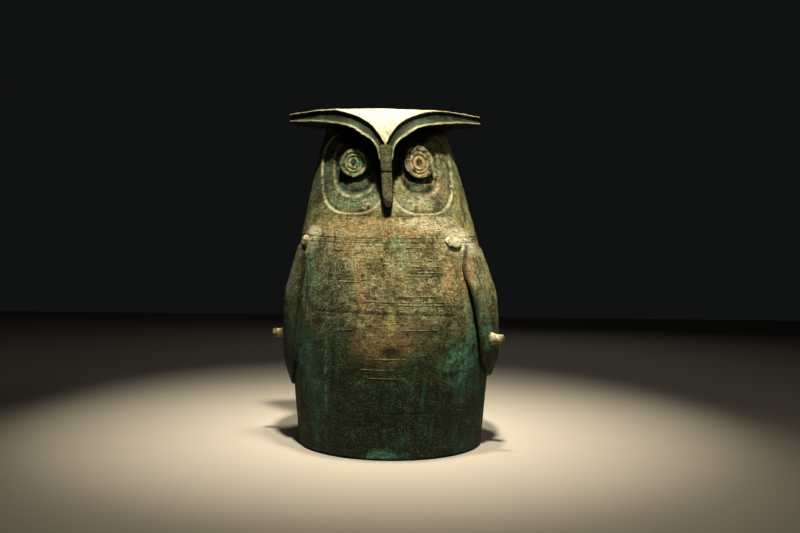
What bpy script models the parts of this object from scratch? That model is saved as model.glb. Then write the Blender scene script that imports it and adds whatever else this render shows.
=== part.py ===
"""Bronze owl vessel: a hollow round body with folded wings, closed by a lift-off lid in the shape of an owl's head.

Metres, +Z up. The origin is the centre of the flat underside, and the owl looks along -Y. Every surface is
worked out in polar form: an azimuth of 0 points at the front and an azimuth of 90 degrees at +X.
"""
import math

import bmesh
import bpy
import numpy as np

# Heights and radii of the round form that carries the relief
FOOT_RADIUS = 0.1232
BELLY_HEIGHT = 0.140
BELLY_RADIUS = 0.1330
SHOULDER_HEIGHT = 0.250
SHOULDER_RADIUS = 0.1240
SEAM_HEIGHT = 0.322
SEAM_RADIUS = 0.1078
TEMPLE_HEIGHT = 0.394
TEMPLE_RADIUS = 0.0888
CROWN_EDGE_HEIGHT = 0.4240
CROWN_EDGE_RADIUS = 0.0780
CROWN_RISE = 0.0130
CROWN_CORNER = 0.0150
CROWN_DOME = 0.0015
FOOT_EDGE = 0.0025

# The seam under the lid drops to the front, and the head leans a little to the owl's right
SEAM_DROP = 0.0280
DROP_START_HEIGHT = 0.200
HEAD_LEAN = -0.0115
LEAN_START_HEIGHT = 0.150
LEAN_CURVE = 1.35

# Walls, and the neck ring that keeps the lid in its place
BODY_WALL = 0.0042
LID_WALL = 0.0040
FLOOR_THICKNESS = 0.0060
FLOOR_FILLET = 0.0120
LID_GAP = 0.0003
NECK_RING_HEIGHT = 0.0080
NECK_RING_THICKNESS = 0.0035
NECK_RING_CLEARANCE = 0.0010
NECK_RING_ROOT = 0.0200

# Cast lines round the front, each by its height at the owl's side
COLLAR_LINE_HEIGHTS = (0.2715, 0.2785)
CHEST_LINE_HEIGHT = 0.1740
BAND_LINE_HEIGHT = 0.0570
LINE_DEPTH = 0.0011
LINE_HALF_WIDTH = 0.0014

# Folded wings: azimuths in degrees, heights and stand-off in metres
WING_TOP_HEIGHT = 0.2640
WING_BACK_TOP = 112.0
WING_BACK_LOW = 152.0
WING_RIGHT_FRONT_TOP = 42.5
WING_RIGHT_FRONT_LOW = 57.0
WING_RIGHT_LOW_HEIGHT = 0.0840
WING_LEFT_FRONT_TOP = 56.0
WING_LEFT_FRONT_LOW = 70.0
WING_LEFT_LOW_HEIGHT = 0.0655
WING_THICKNESS = 0.0045
WING_EDGE_THICKNESS = 0.0020
WING_SLANT = 0.0300
WING_STANDOFF = 0.0135
WING_EDGE_STANDOFF = 0.0032
WING_RIGHT_SLOT = 0.0052
WING_LEFT_SLOT = 0.0
WING_ROOT = 0.0022
# Shares of the stand-off, of the width and of the slot, from the wing's low end (0) to its top (1)
WING_STAND_UP = ((0.0, 0.45), (0.22, 1.0), (0.60, 1.0), (1.0, 0.10))
WING_WIDTH_UP = ((0.0, 0.70), (0.05, 0.80), (0.20, 0.98), (0.80, 0.98), (0.95, 0.80), (1.0, 0.70))
WING_SLOT_UP = ((0.0, 0.0), (0.10, 0.0), (0.22, 1.0), (0.64, 1.0), (0.80, 0.0), (1.0, 0.0))
# The same from its front edge (0) to its back one (1)
WING_EDGE_ACROSS = ((0.0, 1.0), (0.36, 0.0), (1.0, 0.0))
WING_STAND_ACROSS = ((0.0, 1.0), (0.50, 1.0), (1.0, 0.02))
WING_SLOT_ACROSS = ((0.0, 1.0), (0.30, 0.0), (1.0, 0.0))
WING_ROOT_ACROSS = ((0.0, 0.0), (0.80, 0.0), (1.0, 1.0))

# Shoulder knobs and broken pegs
# Each knob by azimuth, height, sideways stretch and swell
KNOB_RADIUS = 0.0085
KNOB_TILT = 0.35
KNOB_RIGHT = (41.5, 0.2655, 1.55, 0.50)
KNOB_LEFT = (62.0, 0.2665, 1.0, 0.80)
PEG_RADIUS = 0.0062
PEG_HEIGHT = 0.1435
PEG_RIGHT_AZIMUTH = 64.0
PEG_RIGHT_LENGTH = 0.0150
PEG_LEFT_AZIMUTH = 90.0
PEG_LEFT_LENGTH = 0.0155
PEG_ROOT = 0.0080

# Face: two stepped fields for each eye, then the eyes and the beak
OUTER_FIELD = (0.0435, 0.3525, 0.0400, 0.0535, 2.8)
OUTER_FIELD_DEPTH = 0.0018
INNER_FIELD = (0.0420, 0.3570, 0.0285, 0.0385, 2.6)
INNER_FIELD_DEPTH = 0.0050
EYE_SIDE = 0.0410
EYE_HEIGHT = 0.3622
EYE_RADIUS = 0.0178
EYE_FRONT = 0.0965
EYE_ROOT = 0.0700
EYE_RING_DEPTH = 0.0016
BEAK_TOP_HEIGHT = 0.3820
BEAK_TIP_HEIGHT = 0.3065
BEAK_TOP_HALF_WIDTH = 0.0074
BEAK_LOW_HALF_WIDTH = 0.0060
BEAK_FRONT = 0.1270
BEAK_ROOT = 0.0880

# Brow: the lower rim and the forehead edge as (side, height), swept back towards the ear tufts
LOWER_RIM = ((0.0085, 0.3620), (0.0112, 0.3755), (0.0300, 0.3950), (0.0430, 0.4045), (0.0740, 0.4148), (0.1290, 0.4282))
UPPER_EDGE = ((0.0010, 0.3845), (0.0085, 0.3980), (0.0165, 0.4085), (0.0450, 0.4265), (0.0700, 0.4345), (0.1300, 0.4405))
LOWER_RIM_FRONT = 0.1260
UPPER_EDGE_FRONT = 0.1180
BROW_SWEEP = 0.1060
BROW_SWEEP_SIDE = 0.1200
RIM_WIDTH = 0.0048
CHANNEL_DEPTH = 0.0056
FOREHEAD_DOME = 0.0010
BROW_ROOT = 0.0560
TUFT_BACK = 0.0040
TUFT_DEPTH = 0.0380
TUFT_ROOT_SHARE = 0.62

# How finely the surfaces are divided
COLUMNS = 52
BODY_COURSES = 9
HOLLOW_COURSES = 7
HEAD_COURSES = 6
HEAD_HOLLOW_COURSES = 4
BROW_SLICES = 15
FIELD_POINTS = 24
WING_ROWS = 13
WING_COLUMNS = 9
ROUND_SIDES = 18

BRONZE_BODY = (0.095, 0.088, 0.048, 1.0)
BRONZE_HEAD = (0.072, 0.086, 0.050, 1.0)


def clear_scene():
    """Remove the objects that are already there."""
    for thing in list(bpy.data.objects):
        bpy.data.objects.remove(thing, do_unlink=True)


def bronze(name, colour):
    """A patinated bronze."""
    material = bpy.data.materials.new(name)
    material.use_nodes = True
    shader = material.node_tree.nodes["Principled BSDF"]
    shader.inputs["Base Color"].default_value = colour
    shader.inputs["Metallic"].default_value = 0.45
    shader.inputs["Roughness"].default_value = 0.62
    return material


def smooth_through(points, at):
    """A curve through the points that never overshoots them (cubic pieces with limited slopes)."""
    x, y = np.array(points, dtype=float).T
    step = np.diff(x)
    slope = np.diff(y) / step
    tangent = np.concatenate(([slope[0]], np.zeros(len(x) - 2), [slope[-1]]))
    for i in range(1, len(x) - 1):
        if slope[i - 1] * slope[i] > 0.0:
            before = 2.0 * step[i] + step[i - 1]
            after = step[i] + 2.0 * step[i - 1]
            tangent[i] = (before + after) / (before / slope[i - 1] + after / slope[i])
    at = np.clip(np.asarray(at, dtype=float), x[0], x[-1])
    i = np.clip(np.searchsorted(x, at, side="right") - 1, 0, len(x) - 2)
    t = (at - x[i]) / step[i]
    first = (1.0 + 2.0 * t) * (1.0 - t) ** 2 * y[i] + t * (1.0 - t) ** 2 * step[i] * tangent[i]
    last = t * t * (3.0 - 2.0 * t) * y[i + 1] + t * t * (t - 1.0) * step[i] * tangent[i + 1]
    return first + last


def ease(t):
    """0 to 1 with level ends."""
    t = np.clip(t, 0.0, 1.0)
    return t * t * (3.0 - 2.0 * t)


def round_radius(height):
    """Radius of the round form at a height."""
    stations = (
        (0.0, FOOT_RADIUS),
        (BELLY_HEIGHT, BELLY_RADIUS),
        (SHOULDER_HEIGHT, SHOULDER_RADIUS),
        (SEAM_HEIGHT, SEAM_RADIUS),
        (TEMPLE_HEIGHT, TEMPLE_RADIUS),
        (CROWN_EDGE_HEIGHT, CROWN_EDGE_RADIUS),
    )
    return smooth_through(stations, height)


def lean(points):
    """Shift the points sideways by the lean of the head."""
    points = np.array(points, dtype=float)
    share = np.clip((points[..., 2] - LEAN_START_HEIGHT) / (CROWN_EDGE_HEIGHT - LEAN_START_HEIGHT), 0.0, None)
    points[..., 0] += HEAD_LEAN * share**LEAN_CURVE
    return points


def drop(level):
    """How far the ring of a level falls at the front: nothing on the belly and the crown, all at the seam."""
    if level <= SEAM_HEIGHT:
        share = max(0.0, (level - DROP_START_HEIGHT) / (SEAM_HEIGHT - DROP_START_HEIGHT))
    else:
        share = max(0.0, (CROWN_EDGE_HEIGHT - level) / (CROWN_EDGE_HEIGHT - SEAM_HEIGHT))
    return SEAM_DROP * share * share


def azimuths(count):
    return np.linspace(0.0, 2.0 * math.pi, count, endpoint=False)


def polar(azimuth, radius, height):
    """Points at an azimuth, a radius and a height, as rows of x, y, z."""
    azimuth, radius, height = np.broadcast_arrays(azimuth, radius, height)
    return np.stack((radius * np.sin(azimuth), -radius * np.cos(azimuth), height), axis=-1)


def ring(level, inset=0.0, rise=0.0):
    """One ring of the round form at a level, drawn in by the inset and lifted by the rise."""
    around = azimuths(COLUMNS)
    height = level - drop(level) * np.cos(around) + rise
    return polar(around, round_radius(height) - inset, height)


def line_rings(level):
    """Three rings that cut a shallow line into the front of the form."""
    front = ease(0.5 + 1.4 * np.cos(azimuths(COLUMNS)))
    return [ring(level - LINE_HALF_WIDTH), ring(level, LINE_DEPTH * front), ring(level + LINE_HALF_WIDTH)]


def courses(low, high, count, inset=0.0, lines=()):
    """Rings at even levels between two heights, with each cast line in its place among them."""
    room = 3.0 * LINE_HALF_WIDTH
    plain = [level for level in np.linspace(low, high, count + 1)[1:-1] if all(abs(level - line) > room for line in lines)]
    rings = []
    for level in sorted((*plain, *lines)):
        rings += line_rings(level) if level in lines else [ring(level, inset)]
    return rings


def close_with_fan(mesh, row):
    """Close a ring by triangles to its middle."""
    middle = mesh.verts.new(np.mean([vertex.co[:] for vertex in row], axis=0))
    for i, vertex in enumerate(row):
        mesh.faces.new((vertex, row[(i + 1) % len(row)], middle))


def close_across(mesh, row):
    """Close a ring by faces straight across, from its first half to its second."""
    half = len(row) // 2
    for i in range(half - 1):
        mesh.faces.new((row[i], row[i + 1], row[-2 - i], row[-1 - i]))
    if len(row) % 2:
        mesh.faces.new(row[half - 1 : half + 2])


def loft(name, rings, material=None, close=close_with_fan):
    """A closed solid through rings of equal count."""
    rings = [lean(points) for points in rings]
    mesh = bmesh.new()
    rows = [[mesh.verts.new(point) for point in points] for points in rings]
    count = len(rows[0])
    for low, high in zip(rows, rows[1:]):
        for i in range(count):
            j = (i + 1) % count
            mesh.faces.new((low[i], low[j], high[j], high[i]))
    for row in (rows[0], rows[-1]):
        close(mesh, row)
    bmesh.ops.recalc_face_normals(mesh, faces=mesh.faces)
    data = bpy.data.meshes.new(name)
    mesh.to_mesh(data)
    mesh.free()
    data.set_sharp_from_angle(angle=math.radians(40.0))
    data.shade_smooth()
    thing = bpy.data.objects.new(name, data)
    bpy.context.collection.objects.link(thing)
    if material:
        data.materials.append(material)
    return thing


def helper(name, rings, close=close_with_fan):
    """A solid that only cuts or joins another."""
    thing = loft(name, rings, close=close)
    thing.hide_render = True
    thing.display_type = "WIRE"
    return thing


def combine(thing, tool, operation):
    """Join the tool to the thing, or cut it out."""
    step = thing.modifiers.new(f"{operation.lower()} {tool.name}", "BOOLEAN")
    step.operation = operation
    step.solver = "EXACT"
    step.object = tool


def crown_rings(inset):
    """The rounded edge and the flat top of the crown."""
    rings = []
    for turn in np.radians((0.0, 35.0, 65.0, 90.0)):
        radius = CROWN_EDGE_RADIUS - CROWN_CORNER * (1.0 - math.cos(turn)) - inset
        height = CROWN_EDGE_HEIGHT + (CROWN_RISE - inset) * math.sin(turn)
        rings.append(polar(azimuths(COLUMNS), radius, height))
    top = CROWN_EDGE_HEIGHT + CROWN_RISE + CROWN_DOME - inset
    rings.append(polar(azimuths(COLUMNS), 0.4 * CROWN_EDGE_RADIUS, top))
    return rings


def body_rings():
    """Outside of the body, from the underside to the top of the neck ring."""
    lines = (BAND_LINE_HEIGHT, CHEST_LINE_HEIGHT, *COLLAR_LINE_HEIGHTS)
    inset = LID_WALL + NECK_RING_CLEARANCE
    rings = [ring(0.0, 0.5 * FOOT_RADIUS), ring(0.0, FOOT_EDGE), ring(FOOT_EDGE)]
    rings += courses(FOOT_EDGE, SEAM_HEIGHT, BODY_COURSES, lines=lines)
    return rings + [ring(SEAM_HEIGHT), ring(SEAM_HEIGHT, inset), ring(SEAM_HEIGHT, inset, NECK_RING_HEIGHT)]


def body_hollow_rings():
    """Inside of the body, from the floor up through the neck ring."""
    neck = LID_WALL + NECK_RING_CLEARANCE + NECK_RING_THICKNESS
    low = FLOOR_THICKNESS + FLOOR_FILLET
    high = SEAM_HEIGHT - NECK_RING_ROOT
    rings = [ring(FLOOR_THICKNESS, BODY_WALL + FLOOR_FILLET), ring(low, BODY_WALL)]
    rings += courses(low, high, HOLLOW_COURSES, BODY_WALL)
    rings += [ring(high, BODY_WALL), ring(high + 0.6 * NECK_RING_ROOT, neck)]
    return rings + [ring(SEAM_HEIGHT, neck, 1.5 * NECK_RING_HEIGHT)]


def lid_rings():
    """Outside of the plain head, closed below at the seam."""
    rings = [ring(SEAM_HEIGHT, 2.0 * LID_WALL, LID_GAP), ring(SEAM_HEIGHT, 0.0, LID_GAP)]
    return rings + courses(SEAM_HEIGHT, CROWN_EDGE_HEIGHT, HEAD_COURSES) + crown_rings(0.0)


def lid_hollow_rings():
    """Inside of the head, open below at the seam."""
    rings = [ring(SEAM_HEIGHT, LID_WALL, -NECK_RING_HEIGHT), ring(SEAM_HEIGHT, LID_WALL, 1.3 * NECK_RING_HEIGHT)]
    face = LID_WALL + INNER_FIELD_DEPTH * ease(0.2 + 1.2 * np.cos(azimuths(COLUMNS)))
    rings += courses(SEAM_HEIGHT, CROWN_EDGE_HEIGHT, HEAD_HOLLOW_COURSES, face)
    return rings + crown_rings(LID_WALL)


def wing_rings(side, front_top, front_low, low_height, slot_width):
    """A curved plate that rises from its thin front edge, with or without a slot there, and grows into the body behind.

    Each ring runs along the outer face from the front edge to the back one, and returns along the inner face.
    """
    across = np.linspace(0.0, 1.0, WING_COLUMNS)
    edge_across = smooth_through(WING_EDGE_ACROSS, across)
    stand_across = smooth_through(WING_STAND_ACROSS, across)
    slot_across = smooth_through(WING_SLOT_ACROSS, across)
    root_across = smooth_through(WING_ROOT_ACROSS, across)
    thickness = WING_THICKNESS + (WING_EDGE_THICKNESS - WING_THICKNESS) * edge_across
    rings = []
    for share in 0.5 - 0.5 * np.cos(np.linspace(0.06, 0.94, WING_ROWS) * math.pi):
        height = low_height + (WING_TOP_HEIGHT - low_height) * share
        front = front_low + (front_top - front_low) * share
        back = WING_BACK_LOW + (WING_BACK_TOP - WING_BACK_LOW) * share
        width = (back - front) * smooth_through(WING_WIDTH_UP, share)
        middle = 0.5 * (front + back)
        azimuth = np.radians(middle + (across - 0.5) * width)
        level = height + WING_SLANT * (0.4 - across) * (1.0 - share) ** 1.5
        open_share = smooth_through(WING_SLOT_UP, share) if slot_width > 0.0 else 0.0
        stand = WING_STANDOFF * smooth_through(WING_STAND_UP, share) * stand_across
        edge = WING_EDGE_STANDOFF + slot_width * open_share
        outer = stand + (edge - stand) * edge_across - WING_ROOT * root_across
        inner = (slot_width + WING_ROOT) * open_share * slot_across - WING_ROOT
        inner = np.minimum(inner, outer - thickness)
        body = round_radius(level)
        outside = polar(azimuth, body + outer, level)
        inside = polar(azimuth, body + inner, level)
        loop = np.concatenate((outside, inside[::-1]))
        loop[:, 0] *= side
        rings.append(loop)
    return rings


def round_rings(centre, direction, stations):
    """Round rings about an axis: each station is a distance along it and a radius."""
    direction = np.array(direction, dtype=float) / np.linalg.norm(direction)
    across = np.cross(direction, (0.0, 0.0, 1.0))
    across /= np.linalg.norm(across)
    up = np.cross(across, direction)
    turn = azimuths(ROUND_SIDES)[:, None]
    return [
        np.array(centre) + distance * direction + radius * (np.cos(turn) * across + np.sin(turn) * up)
        for distance, radius in stations
    ]


def peg_rings(side, azimuth, length):
    """A short round stub with an uneven broken end, square to the wing."""
    azimuth = math.radians(azimuth)
    direction = (side * math.sin(azimuth), -math.cos(azimuth), 0.0)
    start = (round_radius(PEG_HEIGHT) + WING_STANDOFF - PEG_ROOT) * np.array(direction)
    start[2] = PEG_HEIGHT
    reach = PEG_ROOT + length
    stations = ((0.0, 1.35 * PEG_RADIUS), (PEG_ROOT, 1.25 * PEG_RADIUS), (PEG_ROOT + 0.25 * length, PEG_RADIUS))
    stations += ((reach - 0.2 * length, 0.97 * PEG_RADIUS), (reach, 0.72 * PEG_RADIUS))
    return round_rings(start, direction, stations)


def knob_rings(side, azimuth, height, stretch, swell):
    """A rounded shoulder knob, half sunk in the body and stretched sideways."""
    azimuth = math.radians(azimuth)
    direction = (side * math.sin(azimuth), -math.cos(azimuth), KNOB_TILT)
    sideways = np.array((math.cos(azimuth), side * math.sin(azimuth), 0.0))
    start = round_radius(height) * np.array((side * math.sin(azimuth), -math.cos(azimuth), 0.0))
    start[2] = height
    turns = np.radians((-50.0, -15.0, 15.0, 40.0, 65.0, 82.0))
    stations = [(KNOB_RADIUS * math.sin(turn) * swell, KNOB_RADIUS * math.cos(turn)) for turn in turns]
    rings = round_rings(start, direction, stations)
    return [ring + (stretch - 1.0) * ((ring - start) @ sideways)[:, None] * sideways for ring in rings]


def field_rings(side, field, depth):
    """A cutter for a rounded field of the face, whose floor follows the head at a depth."""
    centre, height, half_width, half_height, power = field
    turn = azimuths(FIELD_POINTS)
    wide = np.sign(np.cos(turn)) * np.abs(np.cos(turn)) ** (2.0 / power)
    tall = np.sign(np.sin(turn)) * np.abs(np.sin(turn)) ** (2.0 / power)
    rings = []
    for share in (0.25, 0.65, 1.0):
        x = centre + share * half_width * wide
        z = height + share * half_height * tall
        y = -np.sqrt(np.maximum((round_radius(z) - depth) ** 2 - x * x, 0.0))
        rings.append(np.stack((side * x, y, z), axis=-1))
    front = rings[-1].copy()
    front[:, 1] = -1.5 * BELLY_RADIUS
    return rings + [front]


def eye_rings(side):
    """A short tube that ends in a disc with a raised rim, a sunken ring and a boss."""
    reach = EYE_FRONT - EYE_ROOT
    shares = ((0.0, 1.0), (reach - 0.0015, 1.0), (reach, 0.93), (reach, 0.80), (reach - EYE_RING_DEPTH, 0.72))
    shares += ((reach - EYE_RING_DEPTH, 0.52), (reach, 0.44), (reach + 0.0006, 0.18))
    stations = [(distance, share * EYE_RADIUS) for distance, share in shares]
    return round_rings((side * EYE_SIDE, -EYE_ROOT, EYE_HEIGHT), (0.0, -1.0, 0.0), stations)


def beak_rings():
    """A narrow upright bar with a gently rounded front, stepped twice and rounded at its tip."""
    rings = []
    for share, proud, narrow in (
        (0.0, -0.0100, 0.75), (0.06, -0.0030, 1.0), (0.26, -0.0006, 1.0), (0.275, -0.0018, 0.97), (0.45, -0.0002, 1.0),
        (0.465, -0.0012, 0.97), (0.62, 0.0, 1.0), (0.82, -0.0004, 0.97), (0.93, -0.0022, 0.80), (1.0, -0.0075, 0.42),
    ):
        height = BEAK_TOP_HEIGHT + (BEAK_TIP_HEIGHT - BEAK_TOP_HEIGHT) * share
        half = (BEAK_TOP_HALF_WIDTH + (BEAK_LOW_HALF_WIDTH - BEAK_TOP_HALF_WIDTH) * share) * narrow
        front = -BEAK_FRONT - proud
        outline = [(-half, -BEAK_ROOT), (-half, front + 0.004), (-0.62 * half, front + 0.001), (0.0, front)]
        outline += [(0.62 * half, front + 0.001), (half, front + 0.004), (half, -BEAK_ROOT)]
        rings.append(np.array([(x, y, height) for x, y in outline]))
    return rings


def brow_edge(points, front, curve, share, spread):
    """Point of a brow edge, from the beak at share 0 to the tip of the ear tuft at share 1."""
    x = points[0][0] + (points[-1][0] - points[0][0]) * share**spread
    z = float(smooth_through(points, x))
    y = -front + BROW_SWEEP * (x / BROW_SWEEP_SIDE) ** curve
    return np.array((x, y, z))


def brow_rings():
    """Slices through both brows and the forehead between them, from the beak back to the ear tufts."""
    mirror = np.array((-1.0, 1.0, 1.0))
    back = np.array((0.0, 1.0, 0.0))
    rings = []
    for share in np.linspace(0.0, 1.0, BROW_SLICES):
        low = brow_edge(LOWER_RIM, LOWER_RIM_FRONT, 1.5, share, 1.5)
        high = brow_edge(UPPER_EDGE, UPPER_EDGE_FRONT, 1.3, share, 1.78)
        reach = np.linalg.norm(high - low)
        along = (high - low) / reach
        rim = min(RIM_WIDTH, 0.3 * reach)
        sunk = CHANNEL_DEPTH * back
        half = [
            low * (0.50, 1.0, 1.0) + (0.0, BROW_ROOT * (1.0 - 0.75 * share), 0.004 - 0.006 * share),
            low + 0.004 * back * (1.0 - 0.6 * share),
            low + 0.0010 * along - 0.0006 * back,
            low + 0.5 * rim * along - 0.0015 * back,
            low + rim * along,
            low + 1.3 * rim * along + sunk,
            0.5 * (low + high) + 1.15 * sunk,
            high - 0.60 * rim * along + sunk,
            high - 0.20 * rim * along,
            high + 0.0012 * back + (0.0, 0.0, 0.0010),
            high * (0.6, 1.0, 1.0) + (0.0, 0.001, 0.0010 + 0.6 * FOREHEAD_DOME),
        ]
        middle = high * (0.0, 1.0, 1.0) + (0.0, 0.001, 0.0010 + FOREHEAD_DOME)
        rings.append(np.array(half + [middle] + [point * mirror for point in reversed(half)]))
    tip = rings[-1]
    behind = np.max(tip[:, 1])
    crown_top = CROWN_EDGE_HEIGHT + CROWN_RISE
    for share in (0.0, 0.35, 0.70, 1.0):
        narrow = 1.0 - (1.0 - TUFT_ROOT_SHARE * CROWN_EDGE_RADIUS / UPPER_EDGE[-1][0]) * share**0.8
        sink = crown_top - np.max(tip[:, 2]) - 0.0020
        tuft = tip * (narrow, 0.0, 1.0)
        rings.append(tuft + (0.0, behind + TUFT_BACK + TUFT_DEPTH * share, sink * share))
    return rings


def make_body(material):
    body = loft("vessel_body", body_rings(), material)
    right = wing_rings(1.0, WING_RIGHT_FRONT_TOP, WING_RIGHT_FRONT_LOW, WING_RIGHT_LOW_HEIGHT, WING_RIGHT_SLOT)
    left = wing_rings(-1.0, WING_LEFT_FRONT_TOP, WING_LEFT_FRONT_LOW, WING_LEFT_LOW_HEIGHT, WING_LEFT_SLOT)
    wings = (helper("wing right", right, close_across), helper("wing left", left, close_across))
    knobs = (helper("knob right", knob_rings(1.0, *KNOB_RIGHT)), helper("knob left", knob_rings(-1.0, *KNOB_LEFT)))
    pegs = (
        helper("peg right", peg_rings(1.0, PEG_RIGHT_AZIMUTH, PEG_RIGHT_LENGTH)),
        helper("peg left", peg_rings(-1.0, PEG_LEFT_AZIMUTH, PEG_LEFT_LENGTH)),
    )
    for tool in (*wings, *knobs, *pegs):
        combine(body, tool, "UNION")
    combine(body, helper("body hollow", body_hollow_rings()), "DIFFERENCE")


def make_lid(material):
    lid = loft("head_lid", lid_rings(), material)
    for side, word in ((1.0, "right"), (-1.0, "left")):
        combine(lid, helper(f"outer field {word}", field_rings(side, OUTER_FIELD, OUTER_FIELD_DEPTH)), "DIFFERENCE")
        combine(lid, helper(f"inner field {word}", field_rings(side, INNER_FIELD, INNER_FIELD_DEPTH)), "DIFFERENCE")
    for side, word in ((1.0, "right"), (-1.0, "left")):
        combine(lid, helper(f"eye {word}", eye_rings(side)), "UNION")
    combine(lid, helper("beak", beak_rings()), "UNION")
    combine(lid, helper("brow", brow_rings(), close_across), "UNION")
    combine(lid, helper("lid hollow", lid_hollow_rings()), "DIFFERENCE")


def main():
    clear_scene()
    make_body(bronze("body bronze", BRONZE_BODY))
    make_lid(bronze("head bronze", BRONZE_HEAD))


main()
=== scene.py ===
"""Bronze owl vessel: the detailed surfaces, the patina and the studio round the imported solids.

Every surface is worked out in polar form, as the solids are: an azimuth of 0 points along -Y, where the owl
looks, and an azimuth of 90 degrees points along +X. All lengths are in metres.
"""

import math

import bpy
import numpy as np
from bpy.props import FloatProperty, FloatVectorProperty, PointerProperty
from mathutils import Matrix, Vector


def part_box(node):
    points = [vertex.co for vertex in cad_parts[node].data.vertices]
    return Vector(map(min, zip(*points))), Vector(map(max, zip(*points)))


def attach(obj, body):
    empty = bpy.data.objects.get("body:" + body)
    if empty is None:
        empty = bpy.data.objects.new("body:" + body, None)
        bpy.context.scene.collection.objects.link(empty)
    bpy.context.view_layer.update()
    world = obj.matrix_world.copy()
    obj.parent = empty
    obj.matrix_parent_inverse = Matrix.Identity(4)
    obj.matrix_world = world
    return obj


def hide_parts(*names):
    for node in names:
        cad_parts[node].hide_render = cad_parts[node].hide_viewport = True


bl_info = {
    "name": "Bronze owl vessel",
    "version": (1, 0, 0),
    "blender": (4, 5, 0),
    "location": "3D View > Sidebar > Owl vessel",
    "description": "Cast bronze owl vessel with a lift-off head, its patina and a plain studio",
    "category": "Object",
}

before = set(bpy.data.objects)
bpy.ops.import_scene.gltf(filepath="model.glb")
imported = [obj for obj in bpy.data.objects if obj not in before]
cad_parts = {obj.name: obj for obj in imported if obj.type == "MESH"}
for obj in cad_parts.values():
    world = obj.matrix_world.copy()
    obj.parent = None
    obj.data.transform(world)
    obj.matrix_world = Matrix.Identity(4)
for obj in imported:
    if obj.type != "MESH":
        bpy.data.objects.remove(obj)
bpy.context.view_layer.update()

# The round form that carries the relief, as (height, radius)
ROUND_FORM = (
    (0.0, 0.1232), (0.140, 0.1330), (0.250, 0.1240), (0.322, 0.1078), (0.394, 0.0888), (0.424, 0.0780),
)
SEAM_HEIGHT = 0.322
CROWN_EDGE_HEIGHT = 0.424
CROWN_EDGE_RADIUS = 0.078
CROWN_RISE = 0.013
CROWN_CORNER = 0.015
CROWN_DOME = 0.0015
FOOT_EDGE = 0.0025
DROP_START_HEIGHT = 0.200
SEAM_DROP = 0.028
LEAN_START_HEIGHT = 0.150
HEAD_LEAN = -0.0115
LEAN_CURVE = 1.35
BOX_MARGIN = 0.00005

# Walls and the neck ring
BODY_WALL = 0.0042
LID_WALL = 0.0040
LID_GAP = 0.0003
FLOOR_THICKNESS = 0.006
FLOOR_FILLET = 0.012
NECK_RING_HEIGHT = 0.008
NECK_RING_THICKNESS = 0.0035
NECK_RING_CLEARANCE = 0.001
NECK_RING_ROOT = 0.020
NECK_RING_BEVEL = 0.0007
LEDGE_BEVEL = 0.0006

# How much of the hollow patina and painted shade the inside takes, then the columns and rows of the two large
# surfaces
INNER_SHARE = 0.6
BODY_COLUMNS = 400
BODY_LEVELS = 200
HEAD_COLUMNS = 420
HEAD_LEVELS = 176

# Cast lines round the neck band as (level, width, depth), then the long line of the chest and the one above the foot
COLLAR_LINES = ((0.2715, 0.0009, 1.0), (0.2752, 0.0007, 0.7), (0.2790, 0.0009, 1.0))
CHEST_LINE_HEIGHT = 0.1765
CHEST_LINE_FALL = 0.000045
CHEST_LINE_FROM = -50.0
CHEST_LINE_TO = 41.0
FOOT_LINE_HEIGHT = 0.057
FOOT_LINE_RISE = 0.00005

# Scar, dent and crusts of the body, with azimuths in degrees, and each crust as (azimuth, width, level, reach)
SCAR_LOW = 0.050
SCAR_HIGH = 0.150
SCAR_DEPTH = 0.0007
DENT_AZIMUTH = 1.0
DENT_HEIGHT = 0.131
DENT_HALF_WIDTH = 5.5
DENT_HALF_HEIGHT = 0.0062
DENT_DEPTH = 0.0011
CRUSTS = ((-2.0, 13.0, 0.004, 0.011), (42.0, 12.0, 0.113, 0.028))
CRUST_DEPTH = 0.0009
GRAIN_DEPTH = 0.00034
PIT_START = 0.45

# Folded wings: front azimuth at the top, at the low end, height of the low end and width of the slot for each side
WING_TOP_HEIGHT = 0.264
WING_BACK_TOP = 112.0
WING_BACK_LOW = 152.0
WING_RIGHT = (42.5, 57.0, 0.0840, 0.0052)
WING_LEFT = (56.0, 70.0, 0.0655, 0.0)
WING_THICKNESS = 0.0045
WING_EDGE_THICKNESS = 0.0020
WING_SLANT = 0.030
WING_STANDOFF = 0.0135
WING_EDGE_STANDOFF = 0.0032
WING_ROOT = 0.0022
WING_STAND_UP = ((0.0, 0.45), (0.22, 1.0), (0.60, 1.0), (1.0, 0.10))
WING_WIDTH_UP = ((0.0, 0.70), (0.05, 0.80), (0.20, 0.98), (0.80, 0.98), (0.95, 0.80), (1.0, 0.70))
WING_SLOT_UP = ((0.0, 0.0), (0.10, 0.0), (0.22, 1.0), (0.64, 1.0), (0.80, 0.0), (1.0, 0.0))
WING_EDGE_ACROSS = ((0.0, 1.0), (0.36, 0.0), (1.0, 0.0))
WING_STAND_ACROSS = ((0.0, 1.0), (0.50, 1.0), (1.0, 0.02))
WING_SLOT_ACROSS = ((0.0, 1.0), (0.30, 0.0), (1.0, 0.0))
WING_ROOT_ACROSS = ((0.0, 0.0), (0.80, 0.0), (1.0, 1.0))
# Where the cast lines of a wing lie, as shares of the way across it
WING_LINES = (0.13, 0.17, 0.36, 0.40, 0.62)
WING_LINE_WIDTH = 0.0075
WING_LINE_DEPTH = 0.0006
WING_WEAR = 0.00045
WING_ROWS = 150
WING_COLUMNS = 84

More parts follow.
